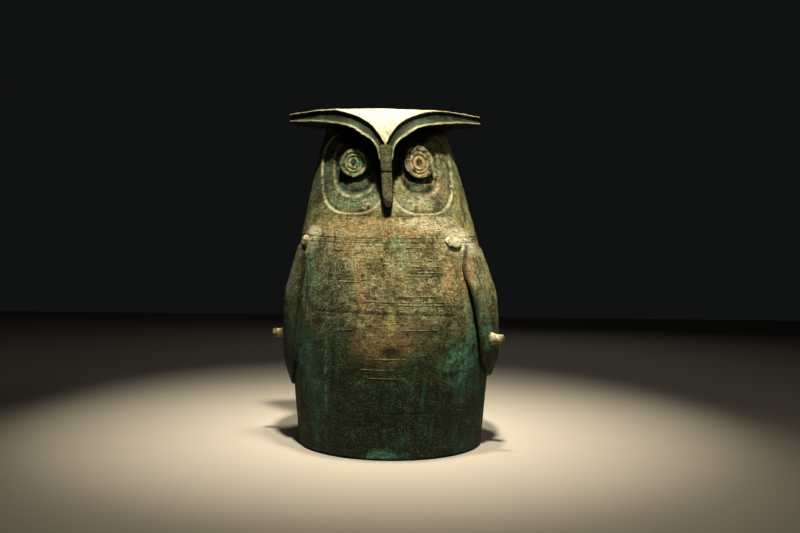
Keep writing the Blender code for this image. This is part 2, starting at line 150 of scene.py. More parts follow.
# The face: fields as (side, height, half width, half height, power)
OUTER_FIELD = (0.0435, 0.3525, 0.0400, 0.0535, 2.8)
INNER_FIELD = (0.0420, 0.3570, 0.0285, 0.0385, 2.6)
INNER_FIELD_DEPTH = 0.0050
EYE_SIDE = 0.041
EYE_HEIGHT = 0.3622
EYE_RADIUS = 0.0178
EYE_FRONT = 0.0945
EYE_TURN = 0.40
EYE_ROOT = 0.070
EYE_TUBE_ROWS = 14
EYE_RING_ROWS = 60
EYE_COLUMNS = 120
# Rings of an eye: share of its radius, and how far forward that circle lies
EYE_RINGS = (
    (0.0, 0.0), (0.16, 0.0), (0.30, 1.0), (0.36, 1.0), (0.42, 0.55), (0.48, 0.50), (0.54, 0.92), (0.60, 0.95),
    (0.66, 0.45), (0.72, 0.45), (0.80, 0.98), (0.92, 1.0), (1.0, 0.55),
)
# Each eye: side, seed, how egg-shaped, its boss as (offset, rise, height), and its size as a share of the radius
EYES = ((1.0, 91, 0.13, (0.0, 0.0, -0.0012), 1.05), (-1.0, 93, 0.0, (0.0010, 0.0018, 0.0011), 1.0))
BEAK_TOP_HEIGHT = 0.382
BEAK_TIP_HEIGHT = 0.3065
BEAK_TOP_HALF_WIDTH = 0.0074
BEAK_LOW_HALF_WIDTH = 0.0060
BEAK_FRONT = 0.127
BEAK_ROOT = 0.088
BEAK_FRONT_SHARE = 0.55
BEAK_ROUNDING = 0.0030
SCALE_WIDTH = 0.0040
SCALE_HEIGHT = 0.0050
SCALE_DEPTH = 0.0007
# Steps down the beak: share of the way down, share of the full width, and how far behind its front
BEAK_STEPS = (
    (0.0, 0.75, 0.0100), (0.06, 1.0, 0.0030), (0.255, 1.0, 0.0008), (0.435, 1.0, 0.0002), (0.455, 0.95, 0.0012),
    (0.62, 1.0, 0.0), (0.82, 0.97, 0.0004), (0.93, 0.80, 0.0022), (1.0, 0.42, 0.0075),
)

# The brow: its two edges as (side, height)
LOWER_RIM = (
    (0.0085, 0.3620), (0.0112, 0.3755), (0.0300, 0.3950), (0.0430, 0.4045), (0.0740, 0.4148), (0.1290, 0.4282),
)
UPPER_EDGE = (
    (0.0010, 0.3845), (0.0085, 0.3980), (0.0165, 0.4085), (0.0450, 0.4265), (0.0700, 0.4345), (0.1300, 0.4405),
)
LOWER_RIM_FRONT = 0.126
UPPER_EDGE_FRONT = 0.118
BROW_SWEEP = 0.106
BROW_SWEEP_SIDE = 0.120
RIM_WIDTH = 0.0048
CHANNEL_DEPTH = 0.0056
FOREHEAD_DOME = 0.001
BROW_ROOT = 0.056
TUFT_BACK = 0.004
TUFT_DEPTH = 0.038
TUFT_ROOT_SHARE = 0.62
BROW_SLICES = 170
TUFT_SLICES = 26

# Pegs as (side, azimuth, length, seed) and knobs as (side, azimuth, height, stretch, swell, seed, roughness)
PEGS = ((1.0, 64.0, 0.0150, 65), (-1.0, 90.0, 0.0155, 67))
KNOBS = ((1.0, 41.5, 0.2655, 1.65, 0.40, 61, 0.0003), (-1.0, 62.0, 0.2665, 1.0, 0.80, 63, 0.0012))
PEG_RADIUS = 0.0062
PEG_HEIGHT = 0.1435
PEG_ROOT = 0.008
KNOB_RADIUS = 0.0085
KNOB_TILT = 0.35

# Square spirals as (azimuth, height, half width, half height, turns, flip), and level threads as (from, to, height)
SPIRALS = (
    (-27.0, 0.2335, 6.0, 0.0105, 3, 1.0),
    (-14.0, 0.2335, 5.5, 0.0105, 3, -1.0),
    (12.5, 0.2470, 5.2, 0.0075, 3, 1.0),
    (26.0, 0.2475, 5.2, 0.0070, 2, -1.0),
)
LEVEL_THREADS = (
    (8.5, 31.0, 0.2345), (8.0, 24.0, 0.2310), (10.0, 31.0, 0.2275), (8.0, 30.0, 0.2235), (-24.0, -8.0, 0.2185),
    (-30.0, -16.0, 0.2155), (-13.0, 37.0, 0.1915), (2.0, 37.0, 0.1880), (2.0, 30.0, 0.1985),
    (-32.0, -20.0, 0.1575), (5.5, 26.5, 0.1580), (-12.5, 8.0, 0.1232), (-16.0, 2.0, 0.1105),
    (-12.5, 8.0, 0.1003), (-34.0, -15.0, 0.2545), (3.0, 30.0, 0.2575), (-20.0, -6.0, 0.1815),
)
# Threads: length of a step along one, how deep its middle lies, and its share of the pale dust-and-highlight tone
THREAD_STEP = 0.0012
THREAD_SINK = 0.00048
THREAD_RAISED = 0.32

# The studio: floor, air and camera, with the camera's turns in degrees
FLOOR_HALF_SIZE = 3.0
FLOOR_COLOUR = (0.300, 0.262, 0.200, 1.0)
FLOOR_ROUGHNESS = 0.9
AIR_COLOUR = (0.55, 0.60, 0.62, 1.0)
AIR_STRENGTH = 0.010
CAMERA_PLACE = (0.0055, -1.0425, 0.2262)
CAMERA_PITCH = 90.49
CAMERA_YAW = -0.30
CAMERA_ROLL = 0.72
SENSOR_WIDTH = 36.0
# Lights: name, the setting with their power and their share of it, place, target, size, tone and spread in degrees
LIGHTS = (
    ("key light", "key_power", 1.0, (0.05, -0.70, 1.52), (0.0, -0.03, 0.34), 0.10, (1.0, 0.95, 0.84), 36.0),
    ("top light", "key_power", 0.55, (0.03, -0.14, 1.70), (0.0, -0.02, 0.30), 0.14, (1.0, 0.95, 0.84), 40.0),
    ("right light", "fill_power", 1.6, (1.10, -0.55, 1.05), (0.0, 0.0, 0.28), 0.45, (1.0, 0.95, 0.86), 120.0),
    ("front light", "fill_power", 0.8, (0.20, -1.30, 0.95), (0.0, 0.0, 0.34), 0.40, (1.0, 0.96, 0.87), 100.0),
    ("left light", "fill_power", 0.25, (-1.2, -0.8, 0.7), (0.0, 0.0, 0.2), 0.8, (0.95, 0.97, 0.90), 180.0),
    ("back light", "fill_power", 3.0, (0.3, 1.5, 1.2), (0.0, 0.0, 0.2), 1.0, (1.0, 0.97, 0.92), 180.0),
)


class OwlForm(bpy.types.PropertyGroup):
    """Depths of the cast and engraved work."""

    line_depth: FloatProperty(
        name="Cast lines", description="Depth of the lines round the chest", default=0.0010, min=0.0,
        max=0.002, unit="LENGTH",
    )
    thread_radius: FloatProperty(
        name="Threads", description="Radius of the raised threads", default=0.00042, min=0.0002, max=0.001,
        unit="LENGTH",
    )
    wear: FloatProperty(
        name="Worn surface", description="Height of the uneven, corroded skin", default=0.00045, min=0.0,
        max=0.001, unit="LENGTH",
    )
    ledge_depth: FloatProperty(
        name="Face ledge", description="Depth of the outer step of the face", default=0.0022, min=0.0,
        max=0.003, unit="LENGTH",
    )


class OwlPatina(bpy.types.PropertyGroup):
    """Colours of the patina."""

    olive: FloatVectorProperty(
        name="Olive", description="Main tone of the bronze", subtype="COLOR", size=3, min=0.0, max=1.0,
        default=(0.210, 0.198, 0.060),
    )
    shade: FloatVectorProperty(
        name="Dark", description="Dark tone low on the body", subtype="COLOR", size=3, min=0.0, max=1.0,
        default=(0.011, 0.017, 0.0045),
    )
    # Also the tone of the painted highlights on lit rims, ledges, the forehead and the shoulder tops
    cream: FloatVectorProperty(
        name="Cream", description="Dry earth on raised places", subtype="COLOR", size=3, min=0.0, max=1.0,
        default=(0.62, 0.56, 0.335),
    )
    tan: FloatVectorProperty(
        name="Tan", description="Warm streaks and the neck band", subtype="COLOR", size=3, min=0.0,
        max=1.0, default=(0.34, 0.205, 0.072),
    )
    green: FloatVectorProperty(
        name="Green", description="Bright green crust", subtype="COLOR", size=3, min=0.0, max=1.0,
        default=(0.055, 0.19, 0.105),
    )


class OwlStage(bpy.types.PropertyGroup):
    """Camera and light."""

    lens: FloatProperty(
        name="Lens", description="Focal length", default=34.38, min=20.0, max=120.0, unit="CAMERA",
    )
    key_power: FloatProperty(
        name="Key light", description="Power of the key light", default=3.2, min=0.0, max=300.0,
        unit="POWER",
    )
    fill_power: FloatProperty(
        name="Fill light", description="Power of the fill lights", default=0.6, min=0.0, max=100.0,
        unit="POWER",
    )


def smooth_through(points, at):
    """A curve through the points that never overshoots them: cubic pieces whose slopes are limited."""
    x, y = np.array(points, dtype=float).T
    step = np.diff(x)
    slope = np.diff(y) / step
    before = 2.0 * step[1:] + step[:-1]
    after = step[1:] + 2.0 * step[:-1]
    turning = slope[:-1] * slope[1:] > 0.0
    low = np.where(turning, slope[:-1], 1.0)
    high = np.where(turning, slope[1:], 1.0)
    inner = np.where(turning, (before + after) / (before / low + after / high), 0.0)
    tangent = np.concatenate(([slope[0]], inner, [slope[-1]]))
    at = np.clip(np.asarray(at, dtype=float), x[0], x[-1])
    i = np.clip(np.searchsorted(x, at, side="right") - 1, 0, len(x) - 2)
    t = (at - x[i]) / step[i]
    first = (1.0 + 2.0 * t) * (1.0 - t) ** 2 * y[i] + t * (1.0 - t) ** 2 * step[i] * tangent[i]
    last = t * t * (3.0 - 2.0 * t) * y[i + 1] + t * t * (t - 1.0) * step[i] * tangent[i + 1]
    return first + last


def ease(t):
    """0 to 1 with level ends: 3 t squared less 2 t cubed."""
    t = np.clip(t, 0.0, 1.0)
    return t * t * (3.0 - 2.0 * t)


def hump(distance, width):
    """1 at no distance, falling off as the bell curve of that width."""
    return np.exp(-((distance / width) ** 2))


def unevenness(points, size, seed, octaves=3):
    """Smooth noise, about -1 to 1.

    Random values on a cubic lattice are blended by eased shares, and halved at each finer octave.
    """
    total = np.zeros(points.shape[:-1])
    reach = 0.0
    for octave in range(octaves):
        scaled = points * (2.0**octave / size) + 7.31 * octave
        cell = np.floor(scaled).astype(np.int64)
        share = ease(scaled - cell)
        value = np.zeros(total.shape)
        for dx in (0, 1):
            for dy in (0, 1):
                for dz in (0, 1):
                    key = (cell[..., 0] + dx) * 73856093 ^ (cell[..., 1] + dy) * 19349663
                    key ^= (cell[..., 2] + dz) * 83492791 ^ (seed + octave) * 40503001
                    key = ((key ^ (key >> 13)) & 0x7FFFFFFF) * 1274126177
                    random = ((key >> 15) & 0xFFFF) / 32767.5 - 1.0
                    weight = np.abs(1 - dx - share[..., 0]) * np.abs(1 - dy - share[..., 1])
                    value += weight * np.abs(1 - dz - share[..., 2]) * random
        total += value * 0.5**octave
        reach += 0.5**octave
    return total / reach * 1.6


def stations(low, high, count, weight, closed=False):
    """Values from low to high, closer together where the weight is larger: equal shares of its running total."""
    fine = np.linspace(low, high, 6000)
    each = weight(fine)
    total = np.concatenate(([0.0], np.cumsum(0.5 * (each[1:] + each[:-1]))))
    return np.interp(np.linspace(0.0, total[-1], count, endpoint=not closed), total, fine)


def round_radius(height):
    """Radius of the round form at a height."""
    return smooth_through(ROUND_FORM, height)


def lean(points):
    """Shift the points sideways by the lean, a power of their share of the way up."""
    share = np.clip((points[..., 2] - LEAN_START_HEIGHT) / (CROWN_EDGE_HEIGHT - LEAN_START_HEIGHT), 0.0, None)
    return points + (HEAD_LEAN * share**LEAN_CURVE)[..., None] * np.array((1.0, 0.0, 0.0))


def drop(level):
    """How far the ring of a level falls at the front: the square of its share of the way to the seam."""
    below = (level - DROP_START_HEIGHT) / (SEAM_HEIGHT - DROP_START_HEIGHT)
    above = (CROWN_EDGE_HEIGHT - level) / (CROWN_EDGE_HEIGHT - SEAM_HEIGHT)
    return SEAM_DROP * np.clip(np.where(level <= SEAM_HEIGHT, below, above), 0.0, 1.0) ** 2


def polar(azimuth, radius, height):
    """Points at an azimuth, a radius and a height."""
    azimuth, radius, height = np.broadcast_arrays(azimuth, radius, height)
    return np.stack((radius * np.sin(azimuth), -radius * np.cos(azimuth), height), axis=-1)


def ring_rows(levels, azimuth, inset=0.0, rise=0.0):
    """Rows of the round form: height = level less its drop times the cosine of the azimuth, radius less the inset."""
    levels = np.atleast_1d(np.asarray(levels, dtype=float))[:, None]
    height = levels - drop(levels) * np.cos(azimuth) + rise
    return polar(azimuth, round_radius(height) - inset, height)


def keep_in_box(points, name):
    """Hold the points inside the box of a solid."""
    low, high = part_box(name)
    return np.clip(points, np.array(low) + BOX_MARGIN, np.array(high) - BOX_MARGIN)


def mesh_object(name, points, faces, tones=None):
    """A smooth mesh object from points and lists of faces, with each point's share of hollow patina and painted
    shade, and of pale dust and painted highlight.
    """
    mesh = bpy.data.meshes.new(name)
    mesh.from_pydata(points.reshape(-1, 3).tolist(), [], faces)
    mesh.shade_smooth()
    for word, values in (tones or {}).items():
        attribute = mesh.attributes.new(word, "FLOAT", "POINT")
        attribute.data.foreach_set("value", np.clip(values, 0.0, 1.0).astype(np.float32))
    thing = bpy.data.objects.new(name, mesh)
    bpy.context.collection.objects.link(thing)
    return thing


def grid_faces(rows, columns, first):
    """Quads between the rows and columns of a grid, closed round its columns."""
    i, j = np.meshgrid(np.arange(rows - 1), np.arange(columns), indexing="ij")
    k = (j + 1) % columns
    corners = (i * columns + j, i * columns + k, (i + 1) * columns + k, (i + 1) * columns + j)
    return (first + np.stack(corners, axis=-1).reshape(-1, 4)).tolist()


def tube_faces(rows, columns, first, start, end):
    """Quads of a grid closed round its columns, and fans of triangles from the start and end points to its ends."""
    j = np.arange(columns)
    k = (j + 1) % columns
    last = first + (rows - 1) * columns
    head = np.stack((np.full(columns, start), first + k, first + j), axis=-1)
    tail = np.stack((np.full(columns, end), last + j, last + k), axis=-1)
    return grid_faces(rows, columns, first) + head.tolist() + tail.tolist()


def join_pieces(name, pieces):
    """One object from closed surfaces, each a grid of points with its shares of hollow patina and painted shade, and
    of pale dust and painted highlight.

    The rows of a grid are closed loops, and its two ends are closed at their middles.
    """
    points, faces, hollow, raised, first = [], [], [], [], 0
    for grid, low, high in pieces:
        rows, columns = grid.shape[:2]
        count = rows * columns
        points += [grid.reshape(-1, 3), grid[0].mean(axis=0)[None], grid[-1].mean(axis=0)[None]]
        for values, share in ((hollow, low), (raised, high)):
            share = np.broadcast_to(share, (rows, columns))
            values += [share.reshape(-1), share[0, :1], share[-1, :1]]
        faces += tube_faces(rows, columns, first, first + count, first + count + 1)
        first += count + 2
    tones = {"hollow": np.concatenate(hollow), "raised": np.concatenate(raised)}
    return mesh_object(name, np.concatenate(points), faces, tones)


def round_rows(centre, direction, along, radii, columns):
    """Circles about an axis, each at a distance along it and with a radius, which may differ round the circle."""
    direction = np.array(direction, dtype=float) / np.linalg.norm(direction)
    across = np.cross(direction, (0.0, 0.0, 1.0))
    across /= np.linalg.norm(across)
    up = np.cross(across, direction)
    turn = np.linspace(0.0, 2.0 * math.pi, columns, endpoint=False)[:, None]
    spoke = np.cos(turn) * across - np.sin(turn) * up
    radii = np.asarray(radii, dtype=float)
    radii = radii[:, None] if radii.ndim == 1 else radii
    along = np.asarray(along, dtype=float)
    along = along[:, None] if along.ndim == 1 else along
    return np.array(centre) + along[..., None] * direction + radii[..., None] * spoke


def local_azimuth(points):
    """Azimuth in degrees of points on the round form, before the lean."""
    return np.degrees(np.arctan2(points[..., 0], -points[..., 1]))


def corroded(points, waves, pit_size, pit_seed):
    """Wear, a sum of waves as (size, seed, octaves, share), and pits where another wave is high."""
    worn = sum(share * unevenness(points, size, seed, octaves) for size, seed, octaves, share in waves)
    return worn, np.clip(unevenness(points, pit_size, pit_seed, 2) - PIT_START, 0.0, 1.0)


def moved_out(rows, around, shift):
    """Rows of the round form, moved level and outwards by the shift."""
    return rows + polar(around, 1.0, 0.0) * shift[..., None]


def shell(name, node, parts, shares, before, after):
    """One closed surface from the rows before, on and after its outside.

    The outside carries its own shares of hollow patina and painted shade and of pale dust and painted highlight, and
    the rows before and after it a single share of hollow patina and painted shade.
    """
    ahead, outside, behind = parts
    hollow = (np.full(ahead.shape[:2], before), shares[0], np.full(behind.shape[:2], after))
    raised = (np.zeros(ahead.shape[:2]), shares[1], np.zeros(behind.shape[:2]))
    grid = keep_in_box(lean(np.concatenate([ahead, outside, behind])), node)
    return join_pieces(name, [(grid, np.concatenate(hollow), np.concatenate(raised))])


def body_relief(points, form):
    """Outward shift of the body's skin, how dark its lines, pits and dent are made, and how pale its scar is.

    The cast lines are bell curves across their level, and wear, pits, a scar, a dent and crusts are added.
    """
    azimuth = local_azimuth(points)
    height = points[..., 2]
    front = ease(0.5 + 1.4 * np.cos(np.radians(azimuth)))
    patchy = 0.65 + 0.35 * unevenness(points, 0.012, 11, 2)
    level = height
    for _ in range(4):
        level = height + drop(level) * np.cos(np.radians(azimuth))
    lines = sum(depth * hump(level - line, width) * front for line, width, depth in COLLAR_LINES)
    reach = ease((azimuth - CHEST_LINE_FROM) / 6.0) * ease((CHEST_LINE_TO - azimuth) / 6.0)
    lines += 1.1 * hump(height - CHEST_LINE_HEIGHT + CHEST_LINE_FALL * (azimuth - 2.0), 0.0010) * reach
    above_foot = height - FOOT_LINE_HEIGHT
    right_half = ease((azimuth + 6.0) / 5.0)
    lines += 0.8 * hump(above_foot - FOOT_LINE_RISE * np.abs(azimuth), 0.0011) * right_half * front
    lines += 0.5 * hump(above_foot, 0.0012) * front
    worn, pits = corroded(points, ((0.030, 3, 2, 1.0), (0.010, 5, 3, 0.8)), 0.0065, 21)
    scar = hump(azimuth + 37.0 - 18.0 * (height - 0.10), 0.75)
    scar *= ease((SCAR_HIGH - height) / 0.01) * ease((height - SCAR_LOW) / 0.01)
    scar *= np.clip(0.5 + unevenness(points, 0.007, 31, 2), 0.0, 1.5)
    dent = 1.0 - ((azimuth - DENT_AZIMUTH) / DENT_HALF_WIDTH) ** 2
    dent = np.clip(dent - ((height - DENT_HEIGHT) / DENT_HALF_HEIGHT) ** 2, 0.0, 1.0)
    crust = sum(hump(azimuth - turn, wide) * hump(height - up, tall) for turn, wide, up, tall in CRUSTS)
    crust *= np.clip(0.35 + unevenness(points, 0.006, 41, 3), 0.0, 1.4)
    shift = -form.line_depth * lines * np.clip(patchy, 0.2, 1.0) + form.wear * (worn * 0.55 - 1.3 * pits - 0.8)
    shift += SCAR_DEPTH * scar - DENT_DEPTH * dent + CRUST_DEPTH * crust
    shift += GRAIN_DEPTH * (unevenness(points, 0.0042, 47, 2) - 1.0)
    return shift, 0.95 * lines * patchy + 0.9 * pits + 0.45 * dent, 0.30 * scar


def make_body_shell(form):
    """Outside, ledge, neck ring, inside and floor as one surface: rows of the round form, moved by the relief."""
    around = stations(-math.pi, math.pi, BODY_COLUMNS, lambda a: 0.55 + ease((1.9 - np.abs(a)) / 0.5), closed=True)
    levels = stations(
        FOOT_EDGE, SEAM_HEIGHT, BODY_LEVELS, lambda z: 1.0 + 0.9 * ease((z - 0.165) / 0.02) * ease((0.30 - z) / 0.02)
    )
    outside = ring_rows(levels, around)
    calm = ease(np.minimum(levels - FOOT_EDGE, SEAM_HEIGHT - levels) / 0.004 + 0.2)[:, None]
    shift, *shares = body_relief(outside, form)
    outside = moved_out(outside, around, shift * calm)
    inset = LID_WALL + NECK_RING_CLEARANCE
    neck = inset + NECK_RING_THICKNESS
    edge = ring_rows(0.0, around, FOOT_EDGE)
    under = np.concatenate([edge * (share, share, 1.0) for share in (0.02, 0.35, 0.8, 1.0)])
    side_top = NECK_RING_HEIGHT - NECK_RING_BEVEL
    section = (
        (LEDGE_BEVEL, 0.0), (inset, 0.0), (inset, side_top), (inset + NECK_RING_BEVEL, NECK_RING_HEIGHT),
        (neck - NECK_RING_BEVEL, NECK_RING_HEIGHT), (neck, side_top),
    )
    ring = [ring_rows(SEAM_HEIGHT, around, inwards, rise) for inwards, rise in section]
    high = SEAM_HEIGHT - NECK_RING_ROOT
    ring.append(ring_rows(high + 0.6 * NECK_RING_ROOT, around, neck))
    low = FLOOR_THICKNESS + FLOOR_FILLET
    inside = ring_rows(np.linspace(high, low, 22), around, BODY_WALL)
    turns = np.radians((30.0, 60.0, 90.0))
    fillet = [
        ring_rows(low - FLOOR_FILLET * math.sin(turn), around, BODY_WALL + FLOOR_FILLET * (1.0 - math.cos(turn)))
        for turn in turns
    ]
    floor = [fillet[-1] * (share, share, 1.0) for share in (0.5, 0.02)]
    rest = np.concatenate([*ring, inside, *fillet, *floor])
    return shell("bronze_body", "vessel_body", (under, outside, rest), shares, INNER_SHARE, INNER_SHARE)


def wing_rows(side, limits):
    """A curved plate: each row runs along the outer face and returns along the inner one.

    Its outer face rises from a thin front edge to the full stand-off, a share up the wing times one across it.
    Its inner face lies a wall behind it, and clear of the body where the slot is.
    """
    front_top, front_low, low_height, slot_width = limits
    share = (0.5 - 0.5 * np.cos(np.linspace(0.06, 0.94, WING_ROWS) * math.pi))[:, None]
    across = (0.5 - 0.5 * np.cos(np.linspace(0.02, 0.98, WING_COLUMNS) * math.pi))[None, :]
    height = low_height + (WING_TOP_HEIGHT - low_height) * share
    front = front_low + (front_top - front_low) * share
    back = WING_BACK_LOW + (WING_BACK_TOP - WING_BACK_LOW) * share
    width = (back - front) * smooth_through(WING_WIDTH_UP, share)
    azimuth = np.radians(0.5 * (front + back) + (across - 0.5) * width)
    level = height + WING_SLANT * (0.4 - across) * (1.0 - share) ** 1.5
    edge_across = smooth_through(WING_EDGE_ACROSS, across)
    opened = smooth_through(WING_SLOT_UP, share) * (slot_width > 0.0)
    stand = WING_STANDOFF * smooth_through(WING_STAND_UP, share) * smooth_through(WING_STAND_ACROSS, across)
    edge = WING_EDGE_STANDOFF + slot_width * opened
    outer = stand + (edge - stand) * edge_across - WING_ROOT * smooth_through(WING_ROOT_ACROSS, across)
    inner = (slot_width + WING_ROOT) * opened * smooth_through(WING_SLOT_ACROSS, across) - WING_ROOT
    inner = np.minimum(inner, outer - WING_THICKNESS - (WING_EDGE_THICKNESS - WING_THICKNESS) * edge_across)
    body = round_radius(level)
    outside = polar(azimuth, body + outer, level)
    lines = sum(hump(across - place - 0.10 * (1.0 - share) ** 2, WING_LINE_WIDTH) for place in WING_LINES)
    lines = lines * ease((share - 0.04) / 0.1) * ease((0.97 - share) / 0.1)
    worn, pits = corroded(outside, ((0.022, 51, 2, 0.6), (0.008, 53, 3, 0.55)), 0.006, 57)
    outer = outer + WING_WEAR * (worn - 1.2 * pits - 0.7) - WING_LINE_DEPTH * lines
    outside = polar(azimuth, body + outer, level)
    inside = polar(azimuth, body + inner, level)
    loop = np.concatenate((outside, inside[:, ::-1]), axis=1)
    # Painted shade: the front edge is darkened and the whole inner face made dark, for the shade in the slot and
    # under the wing; lines and pits are darkened too
    rim = 0.85 * hump(across, 0.030) * np.ones(share.shape)
    hollow = np.concatenate((np.maximum(0.7 * lines + 0.9 * pits, rim), np.ones(inside.shape[:2])), axis=1)
    raised = np.zeros(hollow.shape)
    if side < 0.0:
        loop, hollow, raised = loop[:, ::-1], hollow[:, ::-1], raised[:, ::-1]
    return keep_in_box(lean(loop * (side, 1.0, 1.0)), "vessel_body"), hollow, raised


def rounded(loops):
    """Cut the corners of each closed loop twice: every corner gives way to points a fifth along its two sides."""
    for _ in range(2):
        after = np.roll(loops, -1, axis=1)
        loops = np.stack((0.82 * loops + 0.18 * after, 0.18 * loops + 0.82 * after), axis=2)
        loops = loops.reshape(len(loops), -1, *loops.shape[3:])
    return loops


def make_wings():
    """Both folded wings."""
    return join_pieces("folded_wings", [wing_rows(1.0, WING_RIGHT), wing_rows(-1.0, WING_LEFT)])


def outward_axis(side, azimuth, height, radius):
    """Outward direction at an azimuth in degrees on one side, and the point at that radius and height."""
    azimuth = math.radians(azimuth)
    out = np.array((side * math.sin(azimuth), -math.cos(azimuth), 0.0))
    return out, out * radius + (0.0, 0.0, height)


def knob_rows(side, azimuth, height, stretch, swell, seed, rough):
    """A rounded knob: circles that close over an outward axis, stretched sideways, with an uneven skin."""
    out, start = outward_axis(side, azimuth, height, float(round_radius(height)))
    turns = np.radians(np.linspace(-50.0, 88.0, 30))
    along = KNOB_RADIUS * np.sin(turns) * swell
    rows = round_rows(start, out + (0.0, 0.0, KNOB_TILT), along, KNOB_RADIUS * np.cos(turns), 48)
    sideways = np.array((-out[1], out[0], 0.0))
    rows = rows + (stretch - 1.0) * ((rows - start) @ sideways)[..., None] * sideways
    bump = unevenness(rows, 0.006, seed, 3)
    away = rows - start
    length = np.maximum(np.linalg.norm(away, axis=-1, keepdims=True), 1e-6)
    rows = rows + away / length * (rough * (bump - 1.0))[..., None]
    return keep_in_box(lean(rows), "vessel_body"), np.clip(-0.3 * bump, 0.0, 1.0), np.clip(0.3 + bump, 0.0, 1.0)


def peg_rows(side, azimuth, length, seed):
    """A short broken stub: circles along an outward axis, narrowing to an uneven end."""
    skin = float(round_radius(PEG_HEIGHT)) + WING_STANDOFF
    out, start = outward_axis(side, azimuth, PEG_HEIGHT, skin - PEG_ROOT)
    reach = PEG_ROOT + length
    profile = (
        (0.0, 1.40), (PEG_ROOT - 0.001, 1.32), (PEG_ROOT + 0.004, 1.04), (reach - 0.003, 1.0), (reach - 0.001, 0.93),
    )
    along = np.concatenate((np.linspace(0.0, reach - 0.001, 34), (reach - 0.0004, reach, reach)))
    radii = PEG_RADIUS * np.concatenate((smooth_through(profile, along[:34]), (0.86, 0.60, 0.25)))
    rows = round_rows(start, out, along, radii, 40)
    bump = unevenness(rows, 0.0045, seed, 3)
    axis_part = ((rows - start) @ out)[..., None] * out
    spoke = rows - start - axis_part
    tip = ease((along - reach + 0.004) / 0.004)[:, None]
    broken = out * (0.0011 * tip * (1.0 + bump))[..., None]
    rows = start + axis_part - broken + spoke * (0.93 + 0.09 * bump)[..., None]
    return keep_in_box(lean(rows), "vessel_body"), np.clip(-0.8 * bump, 0.0, 1.0), np.clip(bump, 0.0, 1.0)


def make_knobs_and_pegs():
    """Shoulder knobs and the two broken pegs."""
    return join_pieces("knobs_and_pegs", [knob_rows(*knob) for knob in KNOBS] + [peg_rows(*peg) for peg in PEGS])


# Painted shadow of the brow and the beak on the face, down to a point under the beak: side, and the height above
# which the painted shadow lies
BROW_AND_BEAK_SHADOW_EDGE = (
    (0.0, 0.288), (0.0030, 0.2960), (0.0060, 0.3085), (0.0085, 0.3330), (0.0146, 0.3450), (0.0240, 0.3670),
    (0.0320, 0.3800), (0.0490, 0.3880), (0.0610, 0.3950), (0.0730, 0.4000), (0.0900, 0.4050),
)


def field_distance(points, field):
    """Distance outside the edge of a rounded field, negative inside it: a power sum of the two offsets."""
    centre, height, half_width, half_height, power = field
    wide = np.abs(np.abs(points[..., 0]) - centre) / half_width
    tall = np.abs(points[..., 2] - height) / half_height
    return ((wide**power + tall**power) ** (1.0 / power) - 1.0) * half_width


def face_relief(points, form):
    """Outward shift of the head's skin, its share of hollow patina and painted shade, and its share of pale dust and
    painted highlight.

    Each of two fields is a step down with a fine rim round it, and wear is added. The field floors, pits and the
    creases at the foot of each step are darkened, partly as painted shade; painted shadow of the brow and beak lies
    over the face above an edge; the fine rims and the lower wall of each inner field are made pale as painted
    highlight.
    """
    front = points[..., 1] < 0.0
    outer = field_distance(points, OUTER_FIELD)
    inner = field_distance(points, INNER_FIELD)
    low = ease((INNER_FIELD[1] - points[..., 2]) / INNER_FIELD[3])
    wall = 0.0022 + 0.0036 * low
    steps = -form.ledge_depth * ease((0.0007 - outer) / 0.0014)
    steps -= (INNER_FIELD_DEPTH - form.ledge_depth) * ease(-inner / wall + 0.15)
    steps += 0.0006 * hump(outer - 0.0016, 0.0010) + 0.0004 * hump(inner - 0.0008, 0.0009)
    worn, pits = corroded(points, ((0.024, 71, 2, 0.5), (0.008, 73, 3, 0.5)), 0.006, 77)
    shift = np.where(front, steps, 0.0) + form.wear * 0.7 * (worn - 1.2 * pits - 0.7)
    edge = smooth_through(BROW_AND_BEAK_SHADOW_EDGE, np.abs(points[..., 0]))
    patchy = np.clip(0.70 + 0.9 * unevenness(points, 0.007, 75, 3), 0.0, 1.0)
    # Painted shadow of the brow and the beak: dark above the edge, with no painted highlight there
    brow_and_beak_shadow = ease((points[..., 2] - edge) / 0.0085 + 0.5 + 0.8 * worn)
    brow_and_beak_shadow = brow_and_beak_shadow * ease((0.072 + 0.004 * worn - np.abs(points[..., 0])) / 0.014)
    hollow = 0.45 * hump(outer + 0.0016, 0.0016) + 0.8 * hump(inner + wall + 0.0012, 0.0013) * low
    hollow += 0.62 * ease(-(inner + wall) / 0.002) * (1.3 - patchy)
    hollow += 0.30 * ease(-outer / 0.004) * (1.2 - patchy)
    hollow = np.where(front, np.maximum(hollow, brow_and_beak_shadow), 0.0) + 0.9 * pits
    raised = 0.55 * hump(outer - 0.0006, 0.0010) + (0.22 + 0.25 * low) * hump(inner + 0.30 * wall, 0.25 * wall)
    return shift, hollow, np.where(front, raised * patchy * (1.0 - brow_and_beak_shadow), 0.0)


def crown_rows(azimuth, inset, turns, shares):
    """Rounded edge and nearly flat top of the crown: quarter ellipse, then a shallow dome."""
    rows = [
        polar(
            azimuth,
            CROWN_EDGE_RADIUS - CROWN_CORNER * (1.0 - math.cos(turn)) - inset,
            CROWN_EDGE_HEIGHT + (CROWN_RISE - inset) * math.sin(turn),
        )
        for turn in turns
    ]
    top = CROWN_EDGE_HEIGHT + CROWN_RISE - inset
    flat = CROWN_EDGE_RADIUS - CROWN_CORNER - inset
    rows += [polar(azimuth, flat * share, top + CROWN_DOME * (1.0 - share * share)) for share in shares]
    return np.stack(rows)


